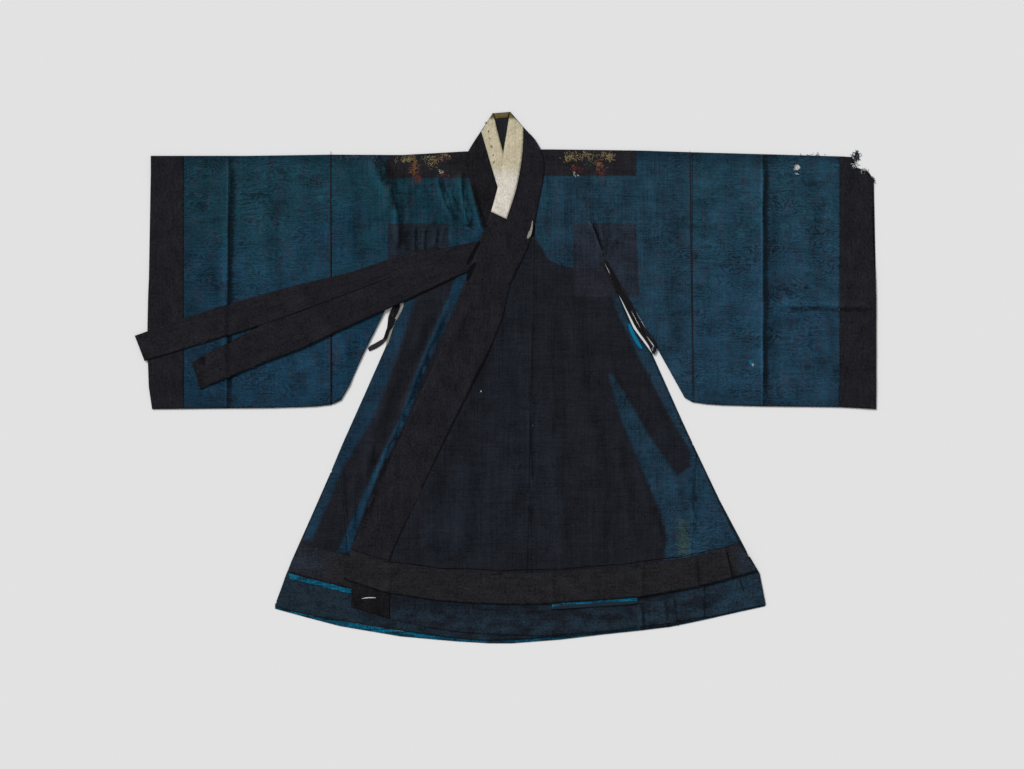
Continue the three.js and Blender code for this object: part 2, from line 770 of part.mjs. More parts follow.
function sleeveCloth({ shares, frontShares, underarm, x, z }) {
  return foldedCloth({
    shares,
    backX: x,
    frontX: x,
    backHem: (place) => yAt(underarm, place),
    frontZ: z,
    backRows: SLEEVE_BACK_ROWS,
    frontRows: frontShares.map((v) => (place) => lerp(frontTop(place), yAt(underarm, place), v)),
  }).geometry;
}

const sleeveRight = sleeveCloth({
  shares: RIGHT_SLEEVE_SHARES,
  frontShares: RIGHT_SLEEVE_ROWS,
  underarm: UNDERARM_RIGHT,
  x: (u) => lerp(-SLEEVE_END, -LOOM_HALF - GAP, u),
  z: rightFrontZ,
});
const sleeveLeft = sleeveCloth({
  shares: LEFT_SLEEVE_SHARES,
  frontShares: LEFT_SLEEVE_ROWS,
  underarm: UNDERARM_LEFT,
  x: (u) => lerp(LOOM_HALF + GAP, SLEEVE_END, u),
  z: leftFrontZ,
});
const cuffRight = sleeveCloth({
  shares: steps(0, 1, 3),
  frontShares: RIGHT_SLEEVE_ROWS,
  underarm: UNDERARM_RIGHT,
  x: (u, y) => lerp(xAt(CUFF_EDGE_RIGHT, y), -SLEEVE_END - GAP, u),
  z: rightFrontZ,
});
const cuffLeft = sleeveCloth({
  shares: steps(0, 1, 3),
  frontShares: LEFT_SLEEVE_ROWS,
  underarm: UNDERARM_LEFT,
  x: (u, y) => lerp(SLEEVE_END + GAP, xAt(CUFF_EDGE_LEFT, y), u),
  z: leftFrontZ,
});

// The worn hole near the left shoulder line goes through both plies
const HOLE = [
  { x: 689, y: -29 },
  { x: 695, y: -26 },
  { x: 701, y: -30 },
  { x: 702, y: -37 },
  { x: 697, y: -42 },
  { x: 691, y: -40 },
  { x: 688, y: -35 },
];
// The left cuff's upper corner is torn away, a little more of the front ply than of the back
const TORN_CORNER = [
  { x: 808, y: 20 },
  { x: 812, y: -11 },
  { x: 829, y: -14 },
  { x: 836, y: -29 },
  { x: 842, y: -42 },
  { x: 852, y: -45 },
  { x: 861, y: -43 },
  { x: 872, y: -55 },
  { x: 880, y: -68 },
  { x: 900, y: -72 },
  { x: 900, y: 20 },
];
const BACK_PLY_LEFT = 6;
const tornBack = TORN_CORNER.map(({ x, y }) => ({ x, y: y + BACK_PLY_LEFT }));
piece("sleeve_right", sleeveRight, "gauze");
piece("sleeve_left", cut(sleeveLeft, [prism(HOLE, BELOW_ALL, ABOVE_ALL)]), "gauze");
piece("cuff_right", cuffRight, "trim");
piece(
  "cuff_left",
  cut(cuffLeft, [prism(TORN_CORNER, ABOVE_BACK, ABOVE_ALL), prism(tornBack, BELOW_ALL, ABOVE_BACK)]),
  "trim",
);

// Collar: a back neck piece, and two bands whose rows run from the back neck down
const COLLAR_BACK = [
  { x1: -94, y1: -7.5, x2: 59, y2: -7.5 },
  { x1: -97, y1: 16, x2: 58, y2: 20 },
  { x1: -76, y1: 52, x2: 29, y2: 61 },
  { x1: -47, y1: 97, x2: -4, y2: 100 },
];
const COLLAR_RIGHT = [
  { x1: -77, y1: 51, x2: -46, y2: 98 },
  { x1: -96, y1: 22, x2: -34, y2: 50 },
  { x1: -113, y1: -12, x2: -21, y2: 1 },
  { x1: -106, y1: -54, x2: -15, y2: -40 },
  { x1: -94, y1: -100, x2: -12, y2: -85 },
  { x1: -79, y1: -150, x2: -8, y2: -128 },
  { x1: -65, y1: -190, x2: -5, y2: -165 },
];
const COLLAR_LEFT = [
  { x1: -5, y1: 101, x2: 29, y2: 61 },
  { x1: -13, y1: 50, x2: 58, y2: 30 },
  { x1: -21, y1: 0, x2: 78, y2: -16 },
  { x1: -27, y1: -42, x2: 77, y2: -62 },
  { x1: -36, y1: -90, x2: 66, y2: -118 },
  { x1: -52, y1: -146, x2: 54, y2: -180 },
  { x1: -72, y1: -195, x2: 40, y2: -228 },
  { x1: -90, y1: -250, x2: 18, y2: -276 },
  { x1: -113, y1: -320, x2: -4, y2: -320.5 },
];
const STRIP_RIGHT = [
  { x1: -75, y1: 52, x2: -46.5, y2: 96 },
  { x1: -60, y1: 1, x2: -22, y2: 2 },
  { x1: -47, y1: -44, x2: -10, y2: -40 },
  { x1: -33, y1: -90, x2: -2, y2: -80 },
];
const STRIP_LEFT = [
  { x1: -5.5, y1: 99, x2: 27.5, y2: 62 },
  { x1: -13, y1: 50, x2: 27, y2: 22 },
  { x1: -21, y1: 1, x2: 23, y2: -22 },
  { x1: -33, y1: -76, x2: 10, y2: -90 },
  { x1: -51, y1: -144, x2: -13, y2: -162 },
];
const STRIP_BACK = [
  { x1: -40, y1: 84, x2: -10, y2: 86 },
  { x1: -45, y1: 97, x2: -6.5, y2: 100 },
];

// The bands come down to the surface above the shoulder fold, and the left one crosses over the right
const CROSSING_RISE = 2 * PLY + GAP;
const CROSSING_EDGE = 52;
const ABOVE_SHOULDER = 5;
const bandBase = (y) => lerp(Z_FRONT + PLY, PLY, eased(y, EASE.collarBack));
const collarRightZ = (x, y) => bandBase(y);

function collarLeftZ(x, y) {
  const overRight = eased(CROSSING_EDGE - x, EASE.collarCrossing);
  const crossing = overRight * (1 - eased(y, EASE.crossingTop)) * eased(y, EASE.crossingFoot);
  const onFront = y < ABOVE_SHOULDER ? leftFrontZ(x, y) + PLY : 0;
  return Math.max(bandBase(y), onFront) + CROSSING_RISE * crossing;
}

piece("collar_back", strip({ rows: COLLAR_BACK, along: 6, across: 4, z: () => 0 }), "trim");
piece("collar_right", strip({ rows: COLLAR_RIGHT, along: 14, across: 3, z: collarRightZ }), "trim");
piece("collar_left", strip({ rows: COLLAR_LEFT, along: 26, across: 4, z: collarLeftZ }), "trim");
piece("collar_strip_back", strip({ rows: STRIP_BACK, along: 1, across: 2, z: () => PLY }), "white");
piece(
  "collar_strip_right",
  strip({ rows: STRIP_RIGHT, along: 12, across: 2, z: (x, y) => collarRightZ(x, y) + PLY + GAP }),
  "white",
);
piece(
  "collar_strip_left",
  strip({ rows: STRIP_LEFT, along: 16, across: 2, z: (x, y) => collarLeftZ(x, y) + PLY + 2 * GAP }),
  "white",
);

// Lining where it shows: the back's hem, the left front's hem and its dark corner
const LINING_BACK_TOP = -985;
const LINING_LEFT_TOP = -1000;
const CORNER_SEAM = -297;

const liningBack = flatPly({
  shares: steps(0, 1, 20),
  edges: (u, y) => lerp(xAt(SIDE_RIGHT, y) - BACK_OUTSET + 1, xAt(SIDE_LEFT, y) + BACK_OUTSET - 1, u),
  rows: steps(0, 1, 3).map((v) => (x) => {
    const hem = yAt(BACK_HEM, x) + at(LINING_BACK_INSET, "x", "inset", x);
    return lerp(LINING_BACK_TOP, hem, v);
  }),
  z: () => Z_LINING_BACK,
});
piece("lining_back", wallOf(liningBack), "lining");

// The left front's lining lies on the right front's hem band and comes down below it
const liningLeftZ = (x, y) => {
  const pastHem = yAt(RIGHT_HEM, x) - y;
  return Z_LINING_LEFT - 2 * PLY * eased(pastHem, EASE.pastRightHem);
};
const STEP_DOWN = [-3, 6, 16, 27, 40]; // below the right front's hem, where the lining comes down
const liningLeftRows = [
  () => LINING_LEFT_TOP,
  ...STEP_DOWN.map((below) => (x) => yAt(RIGHT_HEM, x) - below),
  (x) => (yAt(RIGHT_HEM, x) - STEP_DOWN.at(-1) + yAt(LINING_LEFT_HEM, x)) / 2,
  (x) => yAt(LINING_LEFT_HEM, x),
];
const liningLeft = flatPly({
  shares: steps(0, 1, 16),
  edges: (u) => lerp(CORNER_SEAM, LINING_LEFT_HEM.at(-1).x, u),
  rows: liningLeftRows,
  z: liningLeftZ,
});
const liningCorner = flatPly({
  shares: steps(0, 1, 3),
  edges: (u) => lerp(LINING_LEFT_HEM[0].x, CORNER_SEAM - GAP, u),
  rows: liningLeftRows,
  z: liningLeftZ,
});
piece("lining_left", wallOf(liningLeft), "lining");
piece("lining_corner", wallOf(liningCorner), "trim");

// Bright facings: a narrow strip shows below the edge that each is sewn to
function facing({ name, hem, from, to, z }) {
  const knots = hem.map((point) => point.x).filter((x) => x > from && x < to);
  const rows = flatPly({
    shares: [from, ...knots, to],
    edges: (x) => x,
    rows: [(x) => yAt(hem, x) - GAP, (x) => yAt(hem, x) - FACING_SHOWN],
    z: (x) => z(x, yAt(hem, x)),
  });
  piece(name, wallOf(rows), "facing");
}
const backEdge = BACK_HEM.map(({ x, y }) => ({ x, y: y + FACING_SHOWN }));
facing({ name: "hem_facing_back", hem: backEdge, from: -578, to: 617, z: () => 0 });
facing({ name: "hem_facing_right", hem: RIGHT_HEM, from: -544, to: -386, z: rightFrontZ });
facing({ name: "hem_facing_left", hem: LEFT_HEM, from: 98, to: 306, z: leftFrontZ });

// Backings that show dark through the gauze, between the two plies
function backing({ name, left, right, top, bottom, cuts = [] }) {
  const rows = flatPly({
    shares: steps(0, 1, 3),
    edges: (u) => lerp(left, right, u),
    rows: [() => top, () => bottom],
    z: () => Z_PATCH,
  });
  piece(name, cuts.length ? cut(wallOf(rows), cuts) : wallOf(rows), "body");
}
const leftSpaceOutline = underarmSpace({
  underarm: UNDERARM_LEFT,
  side: SIDE_LEFT,
  sign: 1,
  outset: 0,
  selvedge: LEFT_SELVEDGE_LOW,
});
backing({ name: "underarm_patch_right", left: -302, right: -176, top: -176, bottom: -262 });
backing({
  name: "underarm_patch_left",
  left: 150,
  right: 303,
  top: -173,
  bottom: -351,
  cuts: [prism(leftSpaceOutline, BELOW_ALL, ABOVE_ALL)],
});
backing({ name: "shoulder_backing_right", left: -307, right: -104, top: -12, bottom: -61 });
backing({ name: "shoulder_backing_left", left: 76, right: 303, top: -2, bottom: -56 });

// Long ties, over the right sleeve: rows from the free end to the root
const TIE_UNDER = [
  { x1: -920, y1: -446, x2: -896, y2: -508 },
  { x1: -801, y1: -404, x2: -790, y2: -476 },
  { x1: -671, y1: -363, x2: -662, y2: -437 },
  { x1: -529, y1: -324, x2: -521, y2: -398 },
  { x1: -399, y1: -292, x2: -389, y2: -365 },
  { x1: -287, y1: -256, x2: -272, y2: -318 },
  { x1: -180, y1: -229, x2: -172, y2: -252 },
];
const TIE_OVER = [
  { x1: -781, y1: -511, x2: -760, y2: -576 },
  { x1: -625, y1: -428, x2: -595, y2: -509 },
  { x1: -553, y1: -398, x2: -525, y2: -483 },
  { x1: -434, y1: -354, x2: -407, y2: -428 },
  { x1: -316, y1: -304, x2: -285, y2: -373 },
  { x1: -174, y1: -236, x2: -146, y2: -307 },
  { x1: -70, y1: -214, x2: -92, y2: -284 },
];
const TIE_CLEAR = 0.6;
const TIE_REACH = { x: 24, y: 14 };

// The highest that a ply reaches near a point, which a tie lying over its folds bridges
function highestNear(zOf, x, y) {
  let highest = 0;
  for (const dx of steps(-TIE_REACH.x, TIE_REACH.x, 4)) {
    for (const dy of steps(-TIE_REACH.y, TIE_REACH.y, 2)) {
      highest = Math.max(highest, zOf(x + dx, y + dy));
    }
  }
  return highest;
}

function tieUnderZ(x, y) {
  const onSleeve = highestNear(rightFrontZ, x, y) + WALL + TIE_CLEAR;
  return lerp(onSleeve, GAP, eased(-x, EASE.pastCuff));
}

function tieOverZ(x, y) {
  const onSleeve = highestNear(rightFrontZ, x, y) + WALL + TIE_CLEAR;
  const onTie = (PLY + TIE_CLEAR) * eased(x, EASE.ontoUnderTie);
  return lerp(onSleeve + onTie, Z_FRONT + PLY, eased(x, EASE.tieToRoot));
}

piece("long_tie_under", strip({ rows: TIE_UNDER, along: 34, across: 2, z: tieUnderZ }), "trim");
piece("long_tie_over", strip({ rows: TIE_OVER, along: 34, across: 2, z: tieOverZ }), "trim");

// Thin ties at the side slits
const SIDE_TIE_WIDTH = 8;
const SIDE_TIE_RIGHT = [
  { x: -268.7, y: -345, z: 0.4 },
  { x: -284, y: -372, z: 0.4 },
  { x: -297, y: -397, z: 0.4 },
  { x: -301, y: -427, z: 0.4 },
  { x: -312, y: -456, z: 0.4 },
  { x: -330, y: -471, z: 0.4 },
  { x: -350, y: -480, z: 0.4 },
];
const SIDE_TIE_LEFT = [
  { x: 227, y: -262, z: 4.1 },
  { x: 248, y: -300, z: 4 },
  { x: 272, y: -338, z: 3.9 },
  { x: 296, y: -384, z: 3.9 },
  { x: 315, y: -420, z: 4 },
  { x: 338, y: -452, z: 4.1 },
  { x: 350, y: -470, z: 4.1 },
  { x: 344, y: -490, z: 4.1 },
];
const SIDE_TIE_APART = 9;
const secondTie = SIDE_TIE_LEFT.slice(0, -1).map(({ x, y, z }) => ({
  x: x - SIDE_TIE_APART,
  y: y - SIDE_TIE_APART / 2,
  z,
}));
piece("side_tie_right", narrowTie(SIDE_TIE_RIGHT, SIDE_TIE_WIDTH, 14), "trim");
piece("side_tie_left_1", narrowTie(SIDE_TIE_LEFT, SIDE_TIE_WIDTH, 16), "trim");
piece("side_tie_left_2", narrowTie(secondTie, SIDE_TIE_WIDTH, 16), "trim");

// The origin is the middle of the footprint, on the surface
const footprint = new THREE.Box3().setFromObject(robe);
const middle = footprint.getCenter(new THREE.Vector3());
robe.position.set(-middle.x, -middle.y, -footprint.min.z);

export default robe;
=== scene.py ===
"""The looks of a ceremonial court robe of silk gauze, laid flat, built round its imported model.

Metres, in the model's frame: +Z up from the surface, +Y from the hem to the collar, +X towards the wearer's
left sleeve. The tables are in the robe's own millimetres, as its maker would measure: x from the centre back
seam and y from the shoulder fold.
"""

import math
from collections import namedtuple

import bmesh
import bpy
import numpy as np
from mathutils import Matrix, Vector
from mathutils.bvhtree import BVHTree


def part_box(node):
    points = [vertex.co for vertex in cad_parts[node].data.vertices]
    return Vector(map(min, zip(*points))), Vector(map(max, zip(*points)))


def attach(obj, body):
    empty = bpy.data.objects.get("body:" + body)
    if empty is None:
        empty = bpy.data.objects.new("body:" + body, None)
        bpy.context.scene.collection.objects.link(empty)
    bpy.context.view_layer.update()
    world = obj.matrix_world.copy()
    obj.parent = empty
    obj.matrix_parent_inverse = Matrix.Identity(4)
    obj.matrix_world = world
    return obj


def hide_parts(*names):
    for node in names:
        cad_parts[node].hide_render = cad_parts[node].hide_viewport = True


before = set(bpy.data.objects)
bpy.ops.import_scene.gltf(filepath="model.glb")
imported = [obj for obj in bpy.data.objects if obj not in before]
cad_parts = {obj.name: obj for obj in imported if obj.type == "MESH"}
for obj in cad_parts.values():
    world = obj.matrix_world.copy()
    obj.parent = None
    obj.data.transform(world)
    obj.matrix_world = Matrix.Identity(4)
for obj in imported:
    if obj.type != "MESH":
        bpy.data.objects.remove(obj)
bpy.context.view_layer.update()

# Where the zero of the robe's own millimetres lies in the model
MM = 0.001
SEAM_GAP = 0.3
SHOULDER_AT_SEAM = -4.0  # the right sleeve's highest point, from the shoulder fold's zero
CENTRE_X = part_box("body_panel_left")[0].x / MM - SEAM_GAP / 2
FOLD_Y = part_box("sleeve_right")[1].y / MM - SHOULDER_AT_SEAM

# Camera
PHOTO_WIDTH = 2.4986  # metres of the surface, across the whole picture
PICTURE_CENTRE = (0.016, -0.0174)
LENS = 100.0  # and its sensor, in millimetres
SENSOR = 36.0

# Fineness of the cloth's mesh. Lengths and heights are in millimetres
FINE_EDGE = 7.5
FINEST_EDGE = 4.8  # for the pieces with the sharpest folds
SHARP_FOLDED = ("body_panel_right", "body_panel_left")
COARSE_EDGE = 40.0
CUT_ROUNDS = 7
WELD = 0.01  # points nearer than this are one
FACES_UP = 0.3  # least upward part of the normal of a face that may show
NEAR_CORNER = 0.9  # how far towards its corners such a face is tried
LOOK_UP_FROM = 0.05
FLAT = 0.5  # least upright part of the normal of a face on a skin of a wall
SMOOTH_ROUNDS = 26
LYING_LOW = 0.9  # cloth up to this height lies flat on the surface
FREE_FROM = 2.6  # and from this height up it takes the whole of each crease


def srgb(red, green, blue):
    """A colour given as the eye sees it, from 0 to 255, as the shader wants it."""
    shares = (c / 255 for c in (red, green, blue))
    return (*(((s + 0.055) / 1.055) ** 2.4 if s > 0.04045 else s / 12.92 for s in shares), 1.0)


# Soft folds and pressed creases: a line in the robe's millimetres, its half width, how high it rises, how
# far its middle bows aside, and whether it is pressed sharp
Crease = namedtuple("Crease", "x1 y1 x2 y2 half rise bow sharp", defaults=(0.0, False))

CREASE_ROWS = [
    # On the sleeves
    (-689, 0, -698, -620, 7, 1.5, 3, True),  # pressed down the right sleeve
    (-708, -7, -715, -612, 16, 0.9, -4),
    (-749, -41, -730, -432, 12, 0.7, 5),
    (-727, -17, -742, -603, 10, 0.6, -6),
    (-771, -17, -761, -359, 14, 0.7, 3),
    (-610, -7, -590, -359, 22, 0.8, 8),
    (-527, -17, -544, -334, 20, 0.7, -8),
    (-493, -505, -473, -612, 14, 0.8, 3),
    (-649, -520, -634, -615, 12, 0.7, 2),
    (-578, -481, -542, -608, 18, 0.8, -5),
    (-407, -12, -390, -281, 16, 0.9, 5),
    (-420, -432, -400, -583, 12, 0.7, -3),
    (611, 0, 610, -615, 6, 1.7, 0, True),  # pressed down the left sleeve
    (630, -12, 627, -603, 12, 0.9, 3),
    (586, -12, 593, -603, 18, 0.6, -4),
    (888, -375, 612, -373, 6, 1.1, 2, True),  # and across it
    (459, -393, 605, -412, 14, 0.7, 4),
    (471, -456, 598, -486, 16, 0.7, -5),
    (512, -17, 522, -359, 20, 0.6, 6),
    (703, -41, 717, -354, 20, 0.7, -6),
    (678, -395, 669, -608, 18, 0.6, 4),
    (739, -237, 786, -105, 12, 0.8, 4),
    (766, -388, 776, -603, 12, 0.6, 3),
    (390, -17, 381, -529, 16, 0.6, 6),
    (337, -29, 351, -456, 18, 0.6, -6),
    # Below the shoulders
    (-356, -7, -300, -154, 12, 2.0, -8),  # waves under the right shoulder
    (-327, -17, -273, -173, 8, 1.6, -6),
    (-305, -71, -278, -237, 8, 1.4, -4),
    (-264, -81, -249, -178, 9, 0.8, 2),
    (-222, -76, -207, -173, 8, 0.8, -2),
    (-185, -56, -142, -173, 6, 2.0, 5, True),
    (-154, -81, -134, -173, 8, 1.1, 2),
    (-127, -41, -107, -183, 6, 2.2, 4, True),
    (-105, -71, -76, -193, 6, 1.7, 2, True),
    (-117, -183, -78, -207, 5, 1.6, -4, True),  # the pocket beside the collar
    (-88, -129, -66, -207, 6, 1.0, 2),
    (-281, -183, -285, -266, 5, 1.1, 0, True),  # gathers over the right underarm patch
    (-261, -183, -264, -256, 6, 0.8, 1),
    (-238, -178, -239, -246, 4, 1.2, 0, True),
    (-212, -181, -215, -242, 4, 1.1, 1, True),
    (-185, -181, -190, -232, 4, 1.1, -1, True),
    (-166, -178, -173, -222, 5, 0.7, 0),
    (190, -161, 227, -256, 4.5, 1.9, 2, True),  # gathers over the left armpit
    (215, -168, 229, -251, 6, 0.9, 1),
    (254, -203, 232, -256, 6, 0.8, 1),
    (176, -212, 217, -259, 7, 0.8, -2),
    (117, -32, 132, -237, 14, 0.7, 4),
    (171, -56, 185, -168, 12, 0.7, -3),
    (264, -61, 256, -178, 14, 0.7, 3),
    (83, -37, 73, -193, 9, 0.8, -3),
    (312, -66, 327, -334, 12, 0.6, 4),
    # On the fronts
    (-139, -320, -390, -944, 8, 1.1, 6),  # beside the left front's edge
    (-200, -359, -342, -676, 14, 1.0, -8),
    (-244, -407, -366, -773, 12, 0.9, 6),
    (-283, -603, -390, -847, 12, 1.0, 4),
    (-332, -700, -405, -944, 10, 0.9, -4),
    (-376, -749, -395, -964, 8, 0.7, 3),
    (-102, -359, -195, -603, 12, 0.8, 6),
    (-63, -432, -159, -695, 16, 0.8, -6),
    (-37, -359, -17, -651, 18, 0.6, 5),
    (-146, -676, -264, -944, 18, 0.9, 8),
    (-188, -773, -212, -983, 14, 0.8, -5),
    (-107, -730, -132, -993, 16, 0.7, 5),
    (-49, -700, -59, -1008, 18, 0.6, -5),
    (0, -773, -12, -1013, 14, 0.7, 4),
    (81, -359, 88, -676, 18, 0.6, -6),
    (107, -676, 122, -993, 16, 0.8, 6),
    (146, -334, 166, -603, 16, 0.7, 5),
    (176, -603, 215, -974, 16, 0.9, -8),
    (224, -432, 273, -700, 12, 0.8, 5),
    (249, -700, 312, -983, 12, 1.0, 6),
    (288, -700, 349, -944, 10, 0.9, -5),
    (342, -773, 371, -974, 8, 0.8, 3),
    (312, -554, 400, -754, 10, 0.7, -4),
    (400, -798, 425, -964, 12, 0.8, 4),
    (468, -798, 522, -964, 10, 0.8, -3),
    (498, -822, 556, -964, 8, 0.7, 2),
    (54, -237, 37, -1005, 5, 0.6, 1, True),  # the overlap's seam
    (451, -754, 439, -974, 4, 0.6, 0, True),  # the left gore's seam
    (-420, -749, -400, -964, 4, 0.6, 0, True),
    (-383, -971, -327, -961, 4, 0.7, 0, True),
    # At the hem
    (98, -1017, 98, -1100, 5, 0.7, 0, True),
    (312, -1008, 315, -1086, 5, 0.7, 0, True),
    (442, -983, 449, -1066, 5, 0.7, 0, True),
    (517, -964, 537, -1047, 4, 0.8, 0, True),
    (-137, -1022, -142, -1096, 8, 0.6),
    (190, -1017, 200, -1096, 9, 0.6),
    (-298, -1008, -307, -1081, 8, 0.6),
    (310, -1091, 315, -1169, 5, 0.9, 0, True),
    (368, -1086, 378, -1159, 4, 1.0, 0, True),
    (390, -1086, 403, -1154, 4, 0.9, 0, True),
    (459, -1071, 473, -1135, 8, 0.7),
    (-205, -1105, -166, -1154, 10, 0.8),
    (-102, -1115, -29, -1159, 12, 0.8),
    (-10, -1105, 117, -1164, 10, 0.7),
    (-517, -1057, -468, -1130, 10, 0.6),
    (-444, -1052, -390, -1091, 9, 0.6),
]
CREASES = [Crease(*row) for row in CREASE_ROWS]

# Gentle unevenness all over: sizes of the swells along and across a direction, and their height
Swell = namedtuple("Swell", "along across angle height seed")
SWELLS = [
    Swell(150, 110, 0, 0.55, 3),
    Swell(60, 44, 0.4, 0.32, 5),
    Swell(140, 17, math.pi / 2, 0.22, 7),
    Swell(26, 20, 0.9, 0.12, 11),
]
SWELL_LIFT = 0.4
LATTICE = 64

# The form of a crease: a ridge, and a trough on the side away from the light
CREASE_SEED = 100
CREASE_REACH = 4  # half widths from its line
CREASE_ENDS = 0.16  # share of its length in which it fades out at each end
WANDER, WANDER_RUN = 0.35, 48  # in half widths, and how far it runs before it turns
UNEVEN, UNEVEN_RUN = 0.35, 70
RISE_GAIN = 2.2
TROUGH_AT = -1.5  # half widths from the ridge
TROUGH_HALF = 0.9
TROUGH_DEPTH = 0.45
DEEPEST = -0.9

# Painted light that creases and edges put into the cloth's tone: painted highlight on ridges, painted shade
# in troughs and along rims
RIDGE_PAINTED_HIGHLIGHT = 0.32
TROUGH_PAINTED_SHADE = 0.6
SOFT_SHARE = 0.35
STRONG_RISE = 1.05
PAINTED_LIGHT_LIMITS = (-0.6, 0.5)
RIM_ANGLE = math.radians(50)
LIES_OVER = ("long_tie_under", "long_tie_over", "collar_strip_left", "collar_strip_right")

# How much paler a piece's cloth is than its fellows, and how much painted shade darkens the rims of its
# edges
Tone = namedtuple("Tone", "cloth rim", defaults=(0.0, 0.22))
TONES = {
    "lining_corner": Tone(-0.38, 0.3),
    "collar_right": Tone(-0.25, 0.2),
    "collar_left": Tone(0.03, 0.08),
    "collar_back": Tone(0.35, 0.1),
    "front_trim_left": Tone(0.0, 0.04),
    "overlap_left": Tone(0.0, 0.04),
    "hem_band_left": Tone(0.0, 0.45),
    "hem_band_right": Tone(0.12, 0.3),
    "hem_facing_back": Tone(-0.35, 0.1),
    "hem_facing_left": Tone(-0.15, 0.1),
    "long_tie_over": Tone(0.02, 0.4),
    "long_tie_under": Tone(0.06, 0.4),
    "cuff_right": Tone(0.05, 0.2),
    "cuff_left": Tone(0.06, 0.2),
}


def smooth(t):
    """0 to 1 with soft ends."""
    t = np.clip(t, 0, 1)
    return t * t * (3 - 2 * t)


def swell(x, y, along, across, angle, seed):
    """Smooth noise from -1 to 1 with swells of the given size and direction."""
    lattice = np.random.default_rng(seed).uniform(-1, 1, (LATTICE, LATTICE))
    u = (x * math.cos(angle) + y * math.sin(angle)) / along
    v = (y * math.cos(angle) - x * math.sin(angle)) / across
    column, row = np.floor(u).astype(int), np.floor(v).astype(int)
    s, t = smooth(u - column), smooth(v - row)

    def corner(right, up):
        return lattice[(column + right) % LATTICE, (row + up) % LATTICE]

    low = corner(0, 0) * (1 - s) + corner(1, 0) * s
    high = corner(0, 1) * (1 - s) + corner(1, 1) * s
    return low * (1 - t) + high * t


def crease_shape(x, y, crease, seed):
    """What one crease adds at each point, in height and in painted light, a painted highlight on its ridge
    and painted shade in its trough, uneven along its length.
    """
    dx, dy = crease.x2 - crease.x1, crease.y2 - crease.y1
    length = math.hypot(dx, dy)
    t = ((x - crease.x1) * dx + (y - crease.y1) * dy) / length**2
    aside = ((x - crease.x1) * dy - (y - crease.y1) * dx) / length
    run = t * length
    wander = WANDER * crease.half * swell(run, 0 * run, WANDER_RUN, 1, 0, seed)
    aside = aside - 4 * crease.bow * t * (1 - t) - wander
    uneven = 1 + UNEVEN * swell(run, 0 * run, UNEVEN_RUN, 1, 0, seed + 1)
    ends = smooth(t / CREASE_ENDS) * smooth((1 - t) / CREASE_ENDS)
    part = aside / crease.half
    ridge = np.exp(-np.abs(part)) if crease.sharp else np.exp(-(part**2))
    trough = np.exp(-(((part - TROUGH_AT) / TROUGH_HALF) ** 2))
    strength = crease.rise * uneven * ends
    height = RISE_GAIN * strength * (ridge - TROUGH_DEPTH * trough)
    # Painted highlight on the ridge and painted shade in the trough on the side away from the light
    tone_and_painted_light = strength * (RIDGE_PAINTED_HIGHLIGHT * ridge - TROUGH_PAINTED_SHADE * trough)
    tone_and_painted_light *= 1.0 if crease.sharp or crease.rise >= STRONG_RISE else SOFT_SHARE
    return height, tone_and_painted_light


def relief(x, y):
    """Height in millimetres that creases and swells add to free cloth, and the painted highlight and shade
    of the creases.
    """
    height, tone_and_painted_light = np.zeros(len(x)), np.zeros(len(x))
    for s in SWELLS:
        height += s.height * (swell(x, y, s.along, s.across, s.angle, s.seed) + SWELL_LIFT)
    for number, crease in enumerate(CREASES):
        reach = CREASE_REACH * crease.half + abs(crease.bow)
        near = (
            (x > min(crease.x1, crease.x2) - reach)
            & (x < max(crease.x1, crease.x2) + reach)
            & (y > min(crease.y1, crease.y2) - reach)
            & (y < max(crease.y1, crease.y2) + reach)
        )
        if near.any():
            added, painted_light = crease_shape(x[near], y[near], crease, CREASE_SEED + 2 * number)
            height[near] += added
            tone_and_painted_light[near] += painted_light
    return np.maximum(height, DEEPEST), np.clip(tone_and_painted_light, *PAINTED_LIGHT_LIMITS)


def garment(points):
    """Points of the model in the robe's own millimetres."""
    return points / MM - np.array([CENTRE_X, FOLD_Y, 0.0])


def metres(points):
    """Points in the robe's own millimetres as the model's metres."""
    return (points + np.array([CENTRE_X, FOLD_Y, 0.0])) * MM


def search_tree(objects):
    """The surfaces of the objects, to ask what lies above or below a point."""
    points, faces = [], []
    for thing in objects:
        first = len(points)
        points += [v.co.copy() for v in thing.data.vertices]
        faces += [[first + i for i in face.vertices] for face in thing.data.polygons]
    return BVHTree.FromPolygons(points, faces)


MODEL_SURFACE = search_tree(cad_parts.values())


def seen(face):
    """True where some of an upward face has nothing of the model above it."""
    if face.normal.z < FACES_UP:
        return False
    centre = face.calc_center_median()
    spots = [centre] + [centre.lerp(v.co, NEAR_CORNER) for v in face.verts]
    above = Vector((0, 0, LOOK_UP_FROM * MM))
    return any(MODEL_SURFACE.ray_cast(spot + above, Vector((0, 0, 1)))[0] is None for spot in spots)


def cut_down(bm, limit, layer=None):
    """Halves long edges until few are longer than the limit, only on marked faces if a layer is given."""
    for _ in range(CUT_ROUNDS):
        long = [e for e in bm.edges if e.calc_length() > limit * MM]
        if layer:
            long = [e for e in long if any(face[layer] for face in e.link_faces)]
        if not long:
            break
        bmesh.ops.subdivide_edges(bm, edges=long, cuts=1)
        bmesh.ops.triangulate(bm, faces=[f for f in bm.faces if len(f.verts) > 3])


def fine_mesh(node, fine):
    """A node's solid with its edges cut down: finely where they show, coarsely below."""
    bm = bmesh.new()
    bm.from_mesh(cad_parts[node].data)
    bmesh.ops.remove_doubles(bm, verts=bm.verts, dist=WELD * MM)
    cut_down(bm, COARSE_EDGE)
    bm.normal_update()
    layer = bm.faces.layers.int.new("seen")
    for face in bm.faces:
        face[layer] = int(seen(face))
    cut_down(bm, fine, layer)
    bm.normal_update()
    return bm


